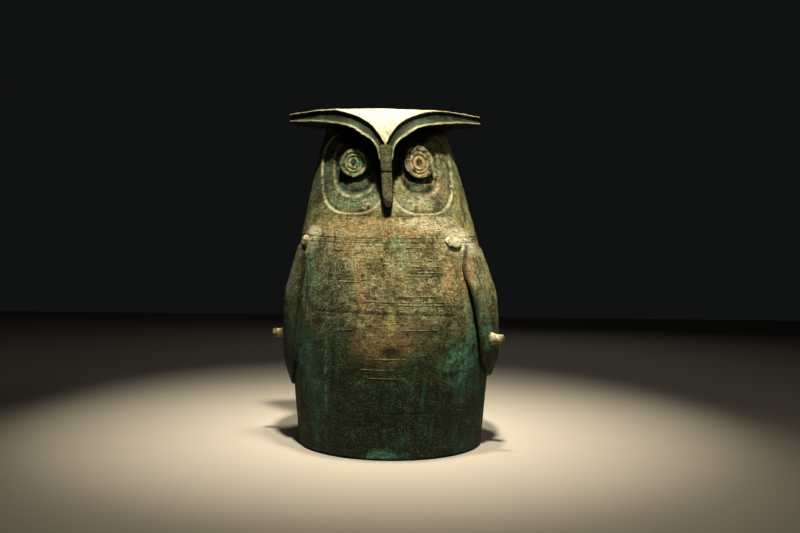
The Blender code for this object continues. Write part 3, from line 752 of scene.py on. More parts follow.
def make_head_shell(form):
    """Inside, seam and outside of the head as one surface: rows of the round form, moved by the relief."""
    around = stations(
        -math.pi, math.pi, HEAD_COLUMNS, lambda a: 0.50 + 1.3 * ease((1.35 - np.abs(a)) / 0.4), closed=True
    )
    turns = np.radians(np.linspace(0.0, 90.0, 12))
    shares = (0.85, 0.6, 0.3, 0.03)
    levels = np.linspace(SEAM_HEIGHT, CROWN_EDGE_HEIGHT, HEAD_LEVELS)
    outside = ring_rows(levels, around, 0.0, LID_GAP)
    calm = ease((levels - SEAM_HEIGHT) / 0.002 + 0.3)[:, None]
    shift, *marks = face_relief(outside, form)
    outside = moved_out(outside, around, shift * calm)
    crown = crown_rows(around, 0.0, turns[1:], shares)
    crown[..., 2] -= 0.0003 * (1.0 + unevenness(crown, 0.012, 79, 2))
    face = LID_WALL + INNER_FIELD_DEPTH * ease(0.2 + 1.2 * np.cos(around))
    inside = [crown_rows(around, LID_WALL, turns[::3], shares)[::-1]]
    inside += [ring_rows(level, around, face) for level in (CROWN_EDGE_HEIGHT - 0.012, 0.394, 0.376, 0.358)]
    inside.append(ring_rows(SEAM_HEIGHT, around, LID_WALL, 1.3 * NECK_RING_HEIGHT))
    inside.append(ring_rows(SEAM_HEIGHT, around, LID_WALL, LID_GAP))
    return shell("bronze_head", "head_lid", (np.concatenate(inside), outside, crown), marks, INNER_SHARE, 0.0)


def brow_edge(points, front, curve, share, spread):
    """An edge of the brow: its side and its sweep grow as powers of the share, its height follows the points."""
    x = points[0][0] + (points[-1][0] - points[0][0]) * share**spread
    y = -front + BROW_SWEEP * (x / BROW_SWEEP_SIDE) ** curve
    return np.stack((x, y, smooth_through(points, x)), axis=-1)


def make_brow():
    """Both brows, the forehead and the ear tufts: slices from the beak back, each a loop of rims and channels."""
    share = np.linspace(0.0, 1.0, BROW_SLICES)
    low = brow_edge(LOWER_RIM, LOWER_RIM_FRONT, 1.5, share, 1.5)
    high = brow_edge(UPPER_EDGE, UPPER_EDGE_FRONT, 1.3, share, 1.78)
    reach = np.linalg.norm(high - low, axis=-1, keepdims=True)
    along = (high - low) / reach
    rim = np.minimum(RIM_WIDTH, 0.3 * reach)
    back = np.array((0.0, 1.0, 0.0))
    up = np.array((0.0, 0.0, 1.0))
    s = share[:, None]
    sunk = CHANNEL_DEPTH * back
    zero = np.zeros_like(s)
    under = np.concatenate((zero, BROW_ROOT * (1.0 - 0.75 * s), 0.004 - 0.006 * s), axis=1)
    half = [
        low * (0.50, 1.0, 1.0) + under,
        low + 0.004 * back * (1.0 - 0.6 * s),
        low + 0.0010 * along - 0.0006 * back,
        low + 0.30 * rim * along - 0.0016 * back,
        low + 0.75 * rim * along - 0.0012 * back,
        low + 1.02 * rim * along + 0.15 * sunk,
        low + 1.25 * rim * along + sunk,
        low + (0.30 * reach + 0.5 * rim) * along + 1.12 * sunk,
        0.5 * (low + high) + 1.18 * sunk,
        high - 0.75 * rim * along + 1.05 * sunk,
        high - 0.42 * rim * along + 0.6 * sunk,
        high - 0.18 * rim * along - 0.0002 * back,
        high - 0.02 * rim * along + 0.0004 * back + 0.0006 * up,
        high + 0.0016 * back + 0.0011 * up,
        high * (0.8, 1.0, 1.0) + 0.0016 * back + (0.0010 + 0.3 * FOREHEAD_DOME) * up,
        high * (0.4, 1.0, 1.0) + 0.0012 * back + (0.0010 + 0.8 * FOREHEAD_DOME) * up,
    ]
    middle = high * (0.0, 1.0, 1.0) + 0.001 * back + (0.0010 + FOREHEAD_DOME) * up
    half = np.stack(half, axis=1)
    # Painted shade: the underside of the brow and its channel are made dark. Painted highlight: the lower rim, the
    # upper edge and the forehead are made pale, partly over real pale earth.
    hollow = np.array((1.0, 1.0, 0.8, 0.35, 0.25, 0.7, 1.0, 0.95, 0.95, 1.0, 0.9, 0.5, 0.1, 0.0, 0.0, 0.0))
    raised = np.array((0.0, 0.0, 0.0, 0.20, 0.28, 0.0, 0.0, 0.0, 0.0, 0.0, 0.0, 0.2, 0.6, 0.9, 1.0, 1.0))
    hollow = np.concatenate((hollow, (0.0,), hollow[::-1]))
    raised = np.concatenate((raised, (1.0,), raised[::-1]))
    slices = np.concatenate((half, middle[:, None], (half * (-1.0, 1.0, 1.0))[:, ::-1]), axis=1)
    tip = slices[-1]
    behind = tip[:, 1].max()
    sink = CROWN_EDGE_HEIGHT + CROWN_RISE - tip[:, 2].max() - 0.0020
    back_share = np.linspace(0.0, 1.0, TUFT_SLICES)[:, None, None]
    narrow = 1.0 - (1.0 - TUFT_ROOT_SHARE * CROWN_EDGE_RADIUS / UPPER_EDGE[-1][0]) * back_share**0.8
    zeros = np.zeros_like(narrow)
    further = behind + TUFT_BACK + TUFT_DEPTH * back_share
    tufts = tip * np.concatenate((narrow, zeros, 1.0 + zeros), axis=-1)
    tufts = tufts + np.concatenate((zeros, further, sink * back_share), axis=-1)
    grid = rounded(np.concatenate((slices, tufts)))
    across = (len(slices) - 1.0 - np.arange(len(grid)))[:, None] / (len(slices) - 1.0)
    hollow = rounded(hollow[None])[0] * ease(1.0 + across * 3.0) + 0.25 * ease(-across * 8.0)
    raised = rounded(raised[None])[0] * (0.45 + 0.55 * ease(across * 2.2)) * ease(1.0 + across * 3.0)
    raised = raised * np.clip(0.75 + 0.8 * unevenness(grid, 0.010, 85, 3), 0.0, 1.0)
    rough = unevenness(grid, 0.012, 81, 3) * 0.00035 + unevenness(grid, 0.004, 83, 2) * 0.00032
    grid = grid + (rough - 0.0003)[..., None] * np.array((0.0, -0.6, 0.8))
    grid = keep_in_box(lean(grid), "head_lid")
    return join_pieces("brow_and_forehead", [(grid[:, ::-1], hollow[:, ::-1], raised[:, ::-1])])


def eye_rows(side, seed, egg, boss, size):
    """A short tube that ends in rings: circles along the owl's view, with a rim, two grooves and a boss or hole."""
    reach = EYE_FRONT - EYE_ROOT
    radial = np.linspace(0.03, 1.0, EYE_RING_ROWS)[::-1]
    rings = smooth_through(EYE_RINGS, radial)
    face = np.concatenate((np.linspace(0.0, reach - 0.0022, EYE_TUBE_ROWS), reach - 0.0016 * (1.0 - rings)))
    turn = np.linspace(0.0, 2.0 * math.pi, EYE_COLUMNS, endpoint=False)
    outline = 1.0 + egg * 0.5 * (1.0 + np.sin(-turn)) ** 2 * np.abs(np.sin(turn))
    outline = outline - 0.05 * egg * np.abs(np.cos(turn))
    radii = EYE_RADIUS * size * np.concatenate((np.ones(EYE_TUBE_ROWS), radial))[:, None] * outline
    rows = round_rows((side * EYE_SIDE, -EYE_ROOT, EYE_HEIGHT), (0.0, -1.0, 0.0), face, radii, EYE_COLUMNS)
    turned = np.clip((-rows[..., 1] - EYE_ROOT) / reach, 0.0, 1.0)
    rows[..., 1] += EYE_TURN * turned * (np.abs(rows[..., 0]) - EYE_SIDE)
    centre = np.array((side * EYE_SIDE + boss[0], 0.0, EYE_HEIGHT + boss[1]))
    away = np.linalg.norm((rows - centre)[..., (0, 2)], axis=-1)
    rows[..., 1] -= boss[2] * hump(away, 0.0036) * ease((np.arange(len(rows)) - EYE_TUBE_ROWS) / 6.0)[:, None]
    rough = unevenness(rows, 0.005, seed, 3)
    rows[..., 1] += 0.00065 * (1.0 + rough)
    spoke = rows[..., (0, 2)] - np.array((side * EYE_SIDE, EYE_HEIGHT))
    rows[..., (0, 2)] += spoke * (0.016 * rough - 0.02)[..., None]
    lip = np.concatenate((np.zeros(EYE_TUBE_ROWS), rings))[:, None]
    # Painted shade: the sides of the tube are made dark; the grooves between the rings are darkened and the ring tops
    # made a little paler
    shaded_flank = (np.arange(len(rows)) < EYE_TUBE_ROWS - 1).astype(float)[:, None]
    hollow = np.clip(1.0 - lip - shaded_flank, 0.0, 1.0) * 0.50 + shaded_flank + np.clip(-0.9 * rough, 0.0, 1.0)
    return keep_in_box(lean(rows), "head_lid"), hollow, np.clip(lip - 0.5 + 0.7 * rough, 0.0, 1.0) * 0.30


def make_eyes():
    """Both eyes."""
    return join_pieces("ringed_eyes", [eye_rows(*eye) for eye in EYES])


def make_beak():
    """An upright bar: rows of a rounded section, stepped twice on the way down, with small scales on its front.

    The scales are the product of two sine waves that cross each other.
    """
    share = np.linspace(0.0, 1.0, 180)
    height = BEAK_TOP_HEIGHT + (BEAK_TIP_HEIGHT - BEAK_TOP_HEIGHT) * share
    half = BEAK_TOP_HALF_WIDTH + (BEAK_LOW_HALF_WIDTH - BEAK_TOP_HALF_WIDTH) * share
    half = half * smooth_through([(down, narrow) for down, narrow, _ in BEAK_STEPS], share)
    front = -BEAK_FRONT + smooth_through([(down, behind) for down, _, behind in BEAK_STEPS], share)
    turn = np.linspace(-1.0, 1.0, 61)
    rest = 1.0 - BEAK_FRONT_SHARE
    corner = np.sign(turn) * (1.0 - (1.0 - np.abs(turn)) ** 2) / (1.0 - rest**2) * 0.97
    x = half[:, None] * np.where(np.abs(turn) < BEAK_FRONT_SHARE, corner, np.sign(turn))
    backwards = np.clip((np.abs(turn) - BEAK_FRONT_SHARE) / rest, 0.0, 1.0)
    y = front[:, None] + BEAK_ROUNDING * np.minimum(np.abs(turn) / BEAK_FRONT_SHARE, 1.0) ** 3
    y = y + backwards * (-BEAK_ROOT - y)
    z = height[:, None] + 0.0 * x
    scale = ease((share - 0.44) / 0.03)[:, None] * ease((0.97 - share) / 0.05)[:, None]
    loose = 0.0006 * unevenness(np.stack((x, 0.0 * x, z), axis=-1), 0.008, 97, 2)
    falling = np.sin(math.pi * (x / SCALE_WIDTH + (z + loose) / SCALE_HEIGHT))
    rising = np.sin(math.pi * (x / SCALE_WIDTH - (z - loose) / SCALE_HEIGHT))
    lattice = np.abs(falling * rising)
    y = y - np.where(np.abs(turn) < 0.5, SCALE_DEPTH * scale * (lattice - 0.6), 0.0)
    grid = np.stack((x, y, z), axis=-1)
    grid[..., 1] += 0.0004 + 0.0003 * unevenness(grid, 0.006, 95, 3)
    # Painted shade: the flanks of the beak are made dark; the grooves between the scales and the plain upper part are
    # darkened
    shaded_flank = ease((np.abs(turn) - 0.50) / 0.12)
    plain = ease((0.46 - share) / 0.03)[:, None]
    hollow = np.maximum(0.62 * scale * np.clip(1.25 - 1.3 * lattice, 0.0, 1.0) + 0.78 * plain, shaded_flank)
    raised = 0.10 * scale * lattice * (1.0 - shaded_flank)
    grid = keep_in_box(lean(grid), "head_lid")
    return join_pieces("scaled_beak", [(grid[:, ::-1], hollow[:, ::-1], raised[:, ::-1])])


def thread(points, radius):
    """A raised thread on the chest: a round section carried along (azimuth, height) points that lie on the body."""
    points = np.asarray(points, dtype=float)
    step = np.linalg.norm(np.diff(points * (0.00225, 1.0), axis=0), axis=1)
    run = np.concatenate(([0.0], np.cumsum(step)))
    at = np.linspace(0.0, run[-1], max(6, int(run[-1] / THREAD_STEP)))
    azimuth = np.interp(at, run, points[:, 0])
    height = np.interp(at, run, points[:, 1])
    path = polar(np.radians(azimuth), round_radius(height) - THREAD_SINK, height)
    forward = np.gradient(path, axis=0)
    forward /= np.linalg.norm(forward, axis=1, keepdims=True)
    out = polar(np.radians(azimuth), 1.0, 0.0)
    side = np.cross(forward, out)
    side /= np.linalg.norm(side, axis=1, keepdims=True)
    turn = np.linspace(0.0, 2.0 * math.pi, 8, endpoint=False)[None, :, None]
    size = radius * (0.80 + 0.35 * unevenness(path, 0.006, 97, 2))[:, None, None]
    size = size * ease(np.minimum(at, run[-1] - at) / 0.0015 + 0.25)[:, None, None]
    return path[:, None] + size * (np.cos(turn) * out[:, None] + np.sin(turn) * side[:, None])


def square_spiral(centre, height, half_width, half_height, turns, flip):
    """Corners of a square spiral that winds in to its centre."""
    corners = []
    for i in range(4 * turns):
        size = 1.0 - i / (4.0 * turns)
        wide, tall = ((1, 1), (1, -1), (-1, -1), (-1, 1))[i % 4]
        corners.append((centre + flip * wide * half_width * size, height + tall * half_height * size))
    return corners


def make_threads(form):
    """Fine raised threads of the chest: square spirals and short level lines."""
    paths = [square_spiral(*spiral) for spiral in SPIRALS]
    for low, high, height in LEVEL_THREADS:
        paths.append([(low, height), (0.5 * (low + high), height - 0.0006), (high, height)])
    pieces = [(lean(thread(path, form.thread_radius)), 0.0, THREAD_RAISED) for path in paths]
    return join_pieces("chest_threads", pieces)


class Value:
    """A socket that carries a number, in which each operator adds one Math node."""

    def __init__(self, graph, socket):
        self.graph = graph
        self.socket = socket

    def math(self, operation, *others):
        return self.graph.value("ShaderNodeMath", {"operation": operation}, dict(enumerate((self, *others))))

    def __add__(self, other):
        return self.math("ADD", other)

    def __mul__(self, other):
        return self.math("MULTIPLY", other)

    def __sub__(self, other):
        return self.math("SUBTRACT", other)

    def __rsub__(self, other):
        return self.graph.value("ShaderNodeMath", {"operation": "SUBTRACT"}, {0: other, 1: self})

    __radd__ = __add__

    def limited(self):
        return self.math("MINIMUM", 1.0).math("MAXIMUM", 0.0)


class Graph:
    """The nodes of one material."""

    def __init__(self, name):
        self.material = bpy.data.materials.new(name)
        self.material.use_nodes = True
        self.tree = self.material.node_tree
        self.shader = self.tree.nodes["Principled BSDF"]
        self.place = self.node("ShaderNodeTexCoord").outputs["Object"]

    def node(self, kind, settings=None, inputs=None):
        """Add a node, set it, then fill its sockets with values or links."""
        node = self.tree.nodes.new(kind)
        for key, setting in (settings or {}).items():
            setattr(node, key, setting)
        for key, given in (inputs or {}).items():
            self.feed(node.inputs[key], given)
        return node

    def feed(self, socket, given):
        given = given.socket if isinstance(given, Value) else given
        if isinstance(given, bpy.types.NodeSocket):
            self.tree.links.new(given, socket)
        else:
            socket.default_value = given

    def value(self, kind, settings=None, inputs=None, output=0):
        return Value(self, self.node(kind, settings, inputs).outputs[output])

    def stretched(self, scale, offset):
        """Object coordinates scaled along each axis and shifted."""
        inputs = {"Vector": self.place, "Scale": scale, "Location": offset}
        return self.node("ShaderNodeMapping", None, inputs).outputs[0]

    def noise(self, size, detail, rough, scale=(1.0, 1.0, 1.0), offset=(0.0, 0.0, 0.0), warp=0.0):
        """Noise from 0 to 1 whose grain has a size in metres."""
        inputs = {"Vector": self.stretched(scale, offset), "Scale": 1.0 / size}
        inputs.update({"Detail": detail, "Roughness": rough, "Distortion": warp})
        return self.value("ShaderNodeTexNoise", None, inputs)

    def over(self, value, low, high):
        """0 below low, 1 above high, eased between."""
        inputs = {"Value": value, "From Min": low, "From Max": high}
        return self.value("ShaderNodeMapRange", {"interpolation_type": "SMOOTHSTEP"}, inputs)

    def part(self, axis):
        """One of the object coordinates."""
        return self.value("ShaderNodeSeparateXYZ", None, {0: self.place}, axis)

    def spot(self, centre, radii, ragged, seed):
        """1 at a place on the object, 0 beyond its radii, with a ragged edge."""
        scale = tuple(1.0 / radius for radius in radii)
        away = self.stretched(scale, tuple(-c * s for c, s in zip(centre, scale)))
        length = self.value("ShaderNodeVectorMath", {"operation": "LENGTH"}, {0: away}, "Value")
        grain = self.noise(0.012, 5.0, 0.65, offset=(seed, seed, 0.0))
        return self.over(length + (grain - 0.5) * ragged, 1.15, 0.45)

    def tint(self, below, above, share):
        """Mix two colours."""
        return self.node("ShaderNodeMix", {"data_type": "RGBA"}, {0: share, 6: below, 7: above}).outputs[2]


def colour(values, factor):
    """A tone made lighter or darker, as an opaque colour."""
    return (values[0] * factor, values[1] * factor, values[2] * factor, 1.0)


# Kinds of patch: tone, its two strengths, the noise that chooses between them, where that starts and where it ends
PATCHES = {
    "green": ("green", 0.45, 1.5, "fine", 0.40, 0.66),
    "olive": ("olive", 1.1, 2.3, "fine", 0.36, 0.62),
    "boss": ("green", 0.8, 2.6, "crumbs", 0.40, 0.60),
    "tan": ("tan", 0.60, 1.25, "fine", 0.36, 0.64),
    "cream": ("cream", 0.70, 1.25, "fine", 0.36, 0.64),
}
PATCH_SHADE = 0.7
SPECULAR = 0.10
BUMP_DISTANCE = 0.0046


def coats(g, base, tones, layers):
    """The base colour under thin coats, each a tone, its strength and how much it covers."""
    for word, strength, share in layers:
        base = g.tint(base, colour(getattr(tones, word), strength), share)
    return base


def patches(g, base, tones, spots, waves):
    """The base colour with its patches: each a noise between two strengths of a tone, or plain shade where dark."""
    rich = {"dark": colour(tones.shade, PATCH_SHADE)}
    for kind in sorted({spot[2] for spot in spots} - {"dark"}):
        word, weak, strong, wave, start, end = PATCHES[kind]
        tone = getattr(tones, word)
        rich[kind] = g.tint(colour(tone, weak), colour(tone, strong), g.over(waves[wave], start, end))
    for centre, radii, kind, share, ragged, seed in spots:
        where = g.spot(centre, radii, ragged, seed) * share
        if kind == "green":
            where = where * g.over(waves["cloudy"], 0.38, 0.56)
        base = g.tint(base, rich[kind], where)
    return base


def patina(name, tones, spots):
    """Old bronze: olive over dark, cream where earth dries on it, tan streaks, pale specks and green crust, with
    painted shade low down, on the left and in hollows and shaded places, and painted highlight on lit rims, ledges
    and the forehead.
    """
    g = Graph(name)
    height = g.part(2)
    across = g.part(0)
    broad = g.noise(0.060, 4.0, 0.6, warp=0.6)
    cloudy = g.noise(0.018, 6.0, 0.65, offset=(0.3, 0.1, 0.2), warp=0.4)
    fine = g.noise(0.0040, 5.0, 0.7, offset=(0.5, 0.0, 0.7))
    grain = g.noise(0.0014, 3.0, 0.7, offset=(0.1, 0.9, 0.4))
    runs = g.noise(0.011, 4.0, 0.6, (1.0, 1.0, 0.16), (0.7, 0.2, 0.0), warp=0.3)
    crumbs = g.noise(0.0026, 4.0, 0.75, offset=(0.2, 0.6, 0.1), warp=0.5)
    mixed = cloudy * 0.25 + fine * 0.35 + runs * 0.40
    strength = g.over(mixed * 0.6 + cloudy * 0.4, 0.38, 0.62)
    olive = g.tint(colour(tones.olive, 0.28), colour(tones.olive, 1.15), strength)
    earthy = g.noise(0.034, 5.0, 0.6, offset=(0.4, 0.8, 0.3), warp=0.6)
    olive = g.tint(olive, colour(tones.tan, 0.45), g.over(earthy, 0.48, 0.60) * 0.60)
    # Darker towards the bottom: partly the dark patina there, partly painted shade for the light falling off low on
    # the body
    low = g.over(height + (broad - 0.5) * 0.06 + (cloudy - 0.5) * 0.05, 0.215, 0.105)
    # Fewer pale specks low down, on the left and on the head; low down and on the left this keeps the painted shade
    # dark
    lively = g.over(height + (cloudy - 0.5) * 0.10, 0.125, 0.225) * 0.84 + 0.16
    lively = lively * (g.over(across + (broad - 0.5) * 0.08, -0.12, 0.00) * 0.40 + 0.60)
    lively = lively * (g.over(height, 0.302, 0.270) * 0.60 + 0.40)
    dry = g.over(cloudy * 0.30 + fine * 0.35 + crumbs * 0.35, 0.49, 0.60) * g.over(height, 0.10, 0.26)
    warm = g.over(runs, 0.56, 0.70) * g.over(height, 0.06, 0.19)
    mossy = g.over(g.noise(0.022, 6.0, 0.7, offset=(0.9, 0.4, 0.1), warp=0.5), 0.60, 0.72)
    # Darker again near the foot, partly as painted shade
    near_foot = g.over(height + (cloudy - 0.5) * 0.07, 0.155, 0.055)
    # Darker on the left: partly darker patina, partly painted shade, as the light falls from the right
    left_side_shade = g.over(across + (cloudy - 0.5) * 0.05, -0.035, -0.125)
    base = coats(g, olive, tones, (
        ("shade", 1.2, g.over(mixed * 0.6 + crumbs * 0.4, 0.49, 0.42) * 0.70),
        ("shade", 1.0, low * 0.88),
        ("shade", 0.9, g.over(broad, 0.52, 0.66) * 0.60),
        ("cream", 0.66, dry * (lively * 0.36 + 0.30)),
        ("tan", 0.75, warm * 0.45),
        ("green", 0.45, mossy * 0.55),
        ("shade", 0.30, near_foot * 0.80),
        ("shade", 1.0, left_side_shade * 0.50),
    ))
    base = patches(g, base, tones, spots, {"fine": fine, "crumbs": crumbs, "cloudy": cloudy})
    base = g.tint(base, colour(tones.shade, 0.7), g.over(crumbs, 0.45, 0.38) * 0.60)
    speck = g.over(crumbs, 0.54, 0.61) * g.over(cloudy, 0.36, 0.58)
    pale = g.tint(colour(tones.cream, 0.85), colour(tones.green, 2.2), g.over(broad, 0.50, 0.62) * 0.35)
    base = g.tint(base, pale, speck * 0.55 * lively)
    teal = g.over(crumbs * 0.5 + cloudy * 0.5, 0.53, 0.62) * g.over(broad, 0.38, 0.58)
    verdant = g.over(crumbs * 0.3 + runs * 0.4 + broad * 0.3, 0.50, 0.58) * g.over(height, 0.23, 0.12)
    scratch = g.noise(0.0022, 4.0, 0.7, (0.22, 0.22, 1.0), (0.6, 0.3, 0.5), warp=0.5)
    dots = g.over(grain, 0.58, 0.65) * g.over(cloudy, 0.36, 0.52)
    base = coats(g, base, tones, (
        ("green", 0.85, teal * 0.62),
        ("green", 0.34, verdant * 0.62),
        ("shade", 0.8, g.over(scratch, 0.45, 0.38) * 0.55),
        ("cream", 0.62, g.over(scratch, 0.58, 0.66) * lively * 0.40),
        ("cream", 1.0, dots * lively * 0.70),
    ))
    raised = g.value("ShaderNodeAttribute", {"attribute_name": "raised"}, None, "Fac")
    hollow = g.value("ShaderNodeAttribute", {"attribute_name": "hollow"}, None, "Fac")
    # Pale dust on raised places, and painted highlight on the lit rims, ledges and forehead
    dust_and_highlight_tone = g.tint(colour(tones.cream, 0.50), colour(tones.cream, 1.10), g.over(crumbs, 0.34, 0.60))
    base = g.tint(base, dust_and_highlight_tone, raised * g.over(cloudy, 0.22, 0.50))
    # Dark in hollows: partly patina, partly painted shade under the brow, in its channel, on the flanks of the eyes
    # and beak, inside the wings and in the creases of the face
    hollow_and_shade_tone = g.tint(colour(tones.shade, 0.25), colour(tones.shade, 1.1), g.over(crumbs, 0.42, 0.62))
    hollow_and_shade_tone = g.tint(hollow_and_shade_tone, colour(tones.green, 0.40), g.over(cloudy * 0.6 + crumbs * 0.4, 0.50, 0.60) * 0.55)
    base = g.tint(base, hollow_and_shade_tone, hollow * 0.97)
    g.feed(g.shader.inputs["Base Color"], base)
    g.feed(g.shader.inputs["Roughness"], 0.50 + cloudy * 0.22 + speck * 0.15)
    g.feed(g.shader.inputs["Metallic"], (0.18 - speck * 0.15 - dry * 0.1).limited())
    g.shader.inputs["Specular IOR Level"].default_value = SPECULAR
    relief = fine * 0.6 + grain * 0.25 + cloudy * 0.4 + crumbs * 0.9 + scratch * 0.5
    bump = g.node("ShaderNodeBump", None, {"Height": relief, "Strength": 1.0, "Distance": BUMP_DISTANCE})
    g.feed(g.shader.inputs["Normal"], bump.outputs[0])
    return g.material


# Patches as (centre, radii, kind, share, how ragged, seed)
BODY_SPOTS = (
    ((0.0, -0.100, 0.282), (0.120, 0.080, 0.0175), "tan", 0.58, 0.45, 0.1),
    ((-0.045, -0.112, 0.255), (0.030, 0.050, 0.018), "tan", 0.42, 0.9, 0.15),
    ((0.050, -0.108, 0.288), (0.055, 0.040, 0.013), "cream", 0.40, 0.6, 0.2),
    # Pale on the shoulder tops: partly pale earth, partly painted highlight where the light pools on them
    ((0.090, -0.086, 0.266), (0.031, 0.044, 0.021), "cream", 0.95, 0.4, 0.3),
    ((-0.100, -0.073, 0.276), (0.013, 0.030, 0.011), "cream", 0.80, 0.7, 0.35),
    ((-0.112, -0.070, 0.262), (0.020, 0.030, 0.018), "cream", 0.35, 0.5, 0.4),
    ((-0.036, -0.120, 0.215), (0.0085, 0.060, 0.048), "tan", 0.60, 0.7, 0.5),
    ((0.071, -0.104, 0.221), (0.0100, 0.060, 0.032), "tan", 0.75, 0.6, 0.6),
    ((0.094, -0.085, 0.226), (0.0110, 0.060, 0.038), "tan", 0.85, 0.5, 0.7),
    ((-0.006, -0.130, 0.146), (0.052, 0.080, 0.034), "tan", 0.34, 0.9, 0.8),
    ((0.001, -0.130, 0.168), (0.0060, 0.060, 0.020), "olive", 0.55, 0.8, 0.85),
    # Darker on the left of the chest: partly darker patina, partly painted shade, as the light falls from the right
    ((-0.085, -0.090, 0.160), (0.055, 0.070, 0.110), "dark", 0.42, 0.8, 0.87),
    # Dark about the low ends of the wings: partly painted shade, for the shadow the wings throw on the body
    ((0.120, -0.062, 0.098), (0.030, 0.050, 0.030), "dark", 0.70, 0.7, 0.88),
    ((-0.135, -0.020, 0.100), (0.030, 0.070, 0.040), "dark", 0.70, 0.7, 0.89),
    ((-0.004, -0.122, 0.003), (0.034, 0.040, 0.012), "green", 0.95, 0.9, 0.9),
    ((0.088, -0.098, 0.116), (0.034, 0.055, 0.036), "green", 0.85, 0.9, 1.0),
    ((0.118, -0.070, 0.150), (0.030, 0.050, 0.030), "green", 0.75, 0.9, 1.1),
    ((-0.110, -0.080, 0.110), (0.030, 0.050, 0.045), "green", 0.45, 1.0, 1.2),
    ((0.0, -0.130, 0.130), (0.018, 0.060, 0.008), "dark", 0.75, 0.5, 1.3),
    ((0.050, -0.070, 0.030), (0.110, 0.090, 0.040), "dark", 0.55, 0.5, 1.4),
    # Darker on the left flank, chest and belly: partly darker patina, partly painted shade, as the light falls from
    # the right
    ((-0.125, -0.040, 0.200), (0.040, 0.090, 0.070), "dark", 0.45, 0.8, 1.5),
    ((-0.070, -0.110, 0.190), (0.026, 0.050, 0.070), "dark", 0.50, 0.9, 1.6),
    ((-0.070, -0.110, 0.110), (0.060, 0.050, 0.040), "dark", 0.50, 0.9, 1.7),
    ((-0.104, -0.085, 0.225), (0.010, 0.050, 0.055), "green", 0.55, 1.2, 1.8),
    ((0.105, -0.080, 0.180), (0.014, 0.050, 0.034), "green", 0.60, 1.2, 1.9),
    ((0.010, -0.130, 0.262), (0.014, 0.050, 0.022), "green", 0.40, 1.2, 2.0),
)

HEAD_SPOTS = (
    ((-0.038, -0.097, 0.360), (0.020, 0.030, 0.020), "green", 0.50, 0.8, 2.1),
    ((0.031, -0.097, 0.350), (0.036, 0.040, 0.046), "cream", 0.16, 0.9, 2.2),
    ((0.046, -0.088, 0.334), (0.020, 0.040, 0.012), "tan", 0.55, 0.8, 2.25),
    ((0.034, -0.098, 0.361), (0.019, 0.016, 0.022), "tan", 0.70, 0.5, 2.3),
    ((-0.046, -0.090, 0.322), (0.042, 0.050, 0.024), "green", 0.55, 1.1, 2.4),
    ((-0.052, -0.085, 0.340), (0.026, 0.050, 0.016), "green", 0.50, 1.1, 2.45),
    # Pale forehead: partly pale earth, partly painted highlight on the top that faces the light
    ((-0.009, -0.100, 0.425), (0.060, 0.060, 0.040), "cream", 0.80, 0.4, 2.5),
    ((0.010, -0.110, 0.312), (0.060, 0.040, 0.012), "cream", 0.35, 0.8, 2.6),
    ((-0.041, -0.096, 0.362), (0.024, 0.014, 0.024), "olive", 0.55, 0.6, 2.65),
    ((-0.0395, -0.098, 0.364), (0.0075, 0.016, 0.0075), "boss", 0.80, 0.8, 2.68),
    # Darker left temple: partly darker patina, partly painted shade, as the light falls from the right
    ((-0.088, -0.050, 0.360), (0.030, 0.070, 0.050), "dark", 0.60, 0.7, 2.7),
    ((-0.072, -0.118, 0.405), (0.052, 0.026, 0.022), "green", 0.55, 1.0, 2.9),
    ((0.066, -0.118, 0.408), (0.040, 0.026, 0.020), "green", 0.40, 1.0, 3.0),
    # Darker beside the left eye: partly darker patina, partly painted shade, as the light falls from the right
    ((-0.062, -0.080, 0.372), (0.012, 0.050, 0.034), "dark", 0.60, 0.7, 2.8),
    ((0.036, -0.090, 0.330), (0.034, 0.040, 0.013), "dark", 0.45, 0.7, 3.5),
    ((-0.042, -0.088, 0.335), (0.030, 0.040, 0.020), "dark", 0.40, 0.8, 3.6),
)

PEG_SPOTS = (
    ((-0.154, 0.0, 0.1435), (0.012, 0.016, 0.012), "tan", 0.90, 0.4, 3.1),
    ((0.134, -0.066, 0.1435), (0.013, 0.016, 0.012), "cream", 0.70, 0.7, 3.2),
    # Pale right shoulder knob: partly pale earth, partly painted highlight where the light pools on its top
    ((0.088, -0.088, 0.270), (0.016, 0.016, 0.016), "cream", 0.90, 0.3, 3.3),
    ((-0.112, -0.060, 0.266), (0.016, 0.016, 0.016), "tan", 0.55, 0.6, 3.4),
)


# Finishes as (material, patches, slot, node that the piece replaces)
BODY_FINISH = ("body patina", BODY_SPOTS, "body_bronze", "vessel_body")
PEG_FINISH = ("peg patina", PEG_SPOTS, "body_bronze", "vessel_body")
HEAD_FINISH = ("head patina", HEAD_SPOTS, "head_bronze", "head_lid")


def dress(thing, finish):
    """Give a piece its patina, which is made once, and its place in the model."""
    name, spots, slot, node = finish
    material = bpy.data.materials.get(name) or patina(name, bpy.context.scene.owl_patina, spots)
    thing.data.materials.append(material)
    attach(thing, "root")
    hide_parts(node)


class OWL_OT_body(bpy.types.Operator):
    """Make the body with its neck ring, its inside and the cast lines"""

    bl_idname = "owl.body"
    bl_label = "Body"

    def execute(self, context):
        dress(make_body_shell(context.scene.owl_form), BODY_FINISH)
        return {"FINISHED"}


class OWL_OT_wings(bpy.types.Operator):
    """Make the two folded wings"""

    bl_idname = "owl.wings"
    bl_label = "Folded wings"

    def execute(self, context):
        dress(make_wings(), BODY_FINISH)
        return {"FINISHED"}


class OWL_OT_knobs(bpy.types.Operator):
    """Make the shoulder knobs and the broken pegs"""

    bl_idname = "owl.knobs"
    bl_label = "Knobs and pegs"

    def execute(self, context):
        dress(make_knobs_and_pegs(), PEG_FINISH)
        return {"FINISHED"}


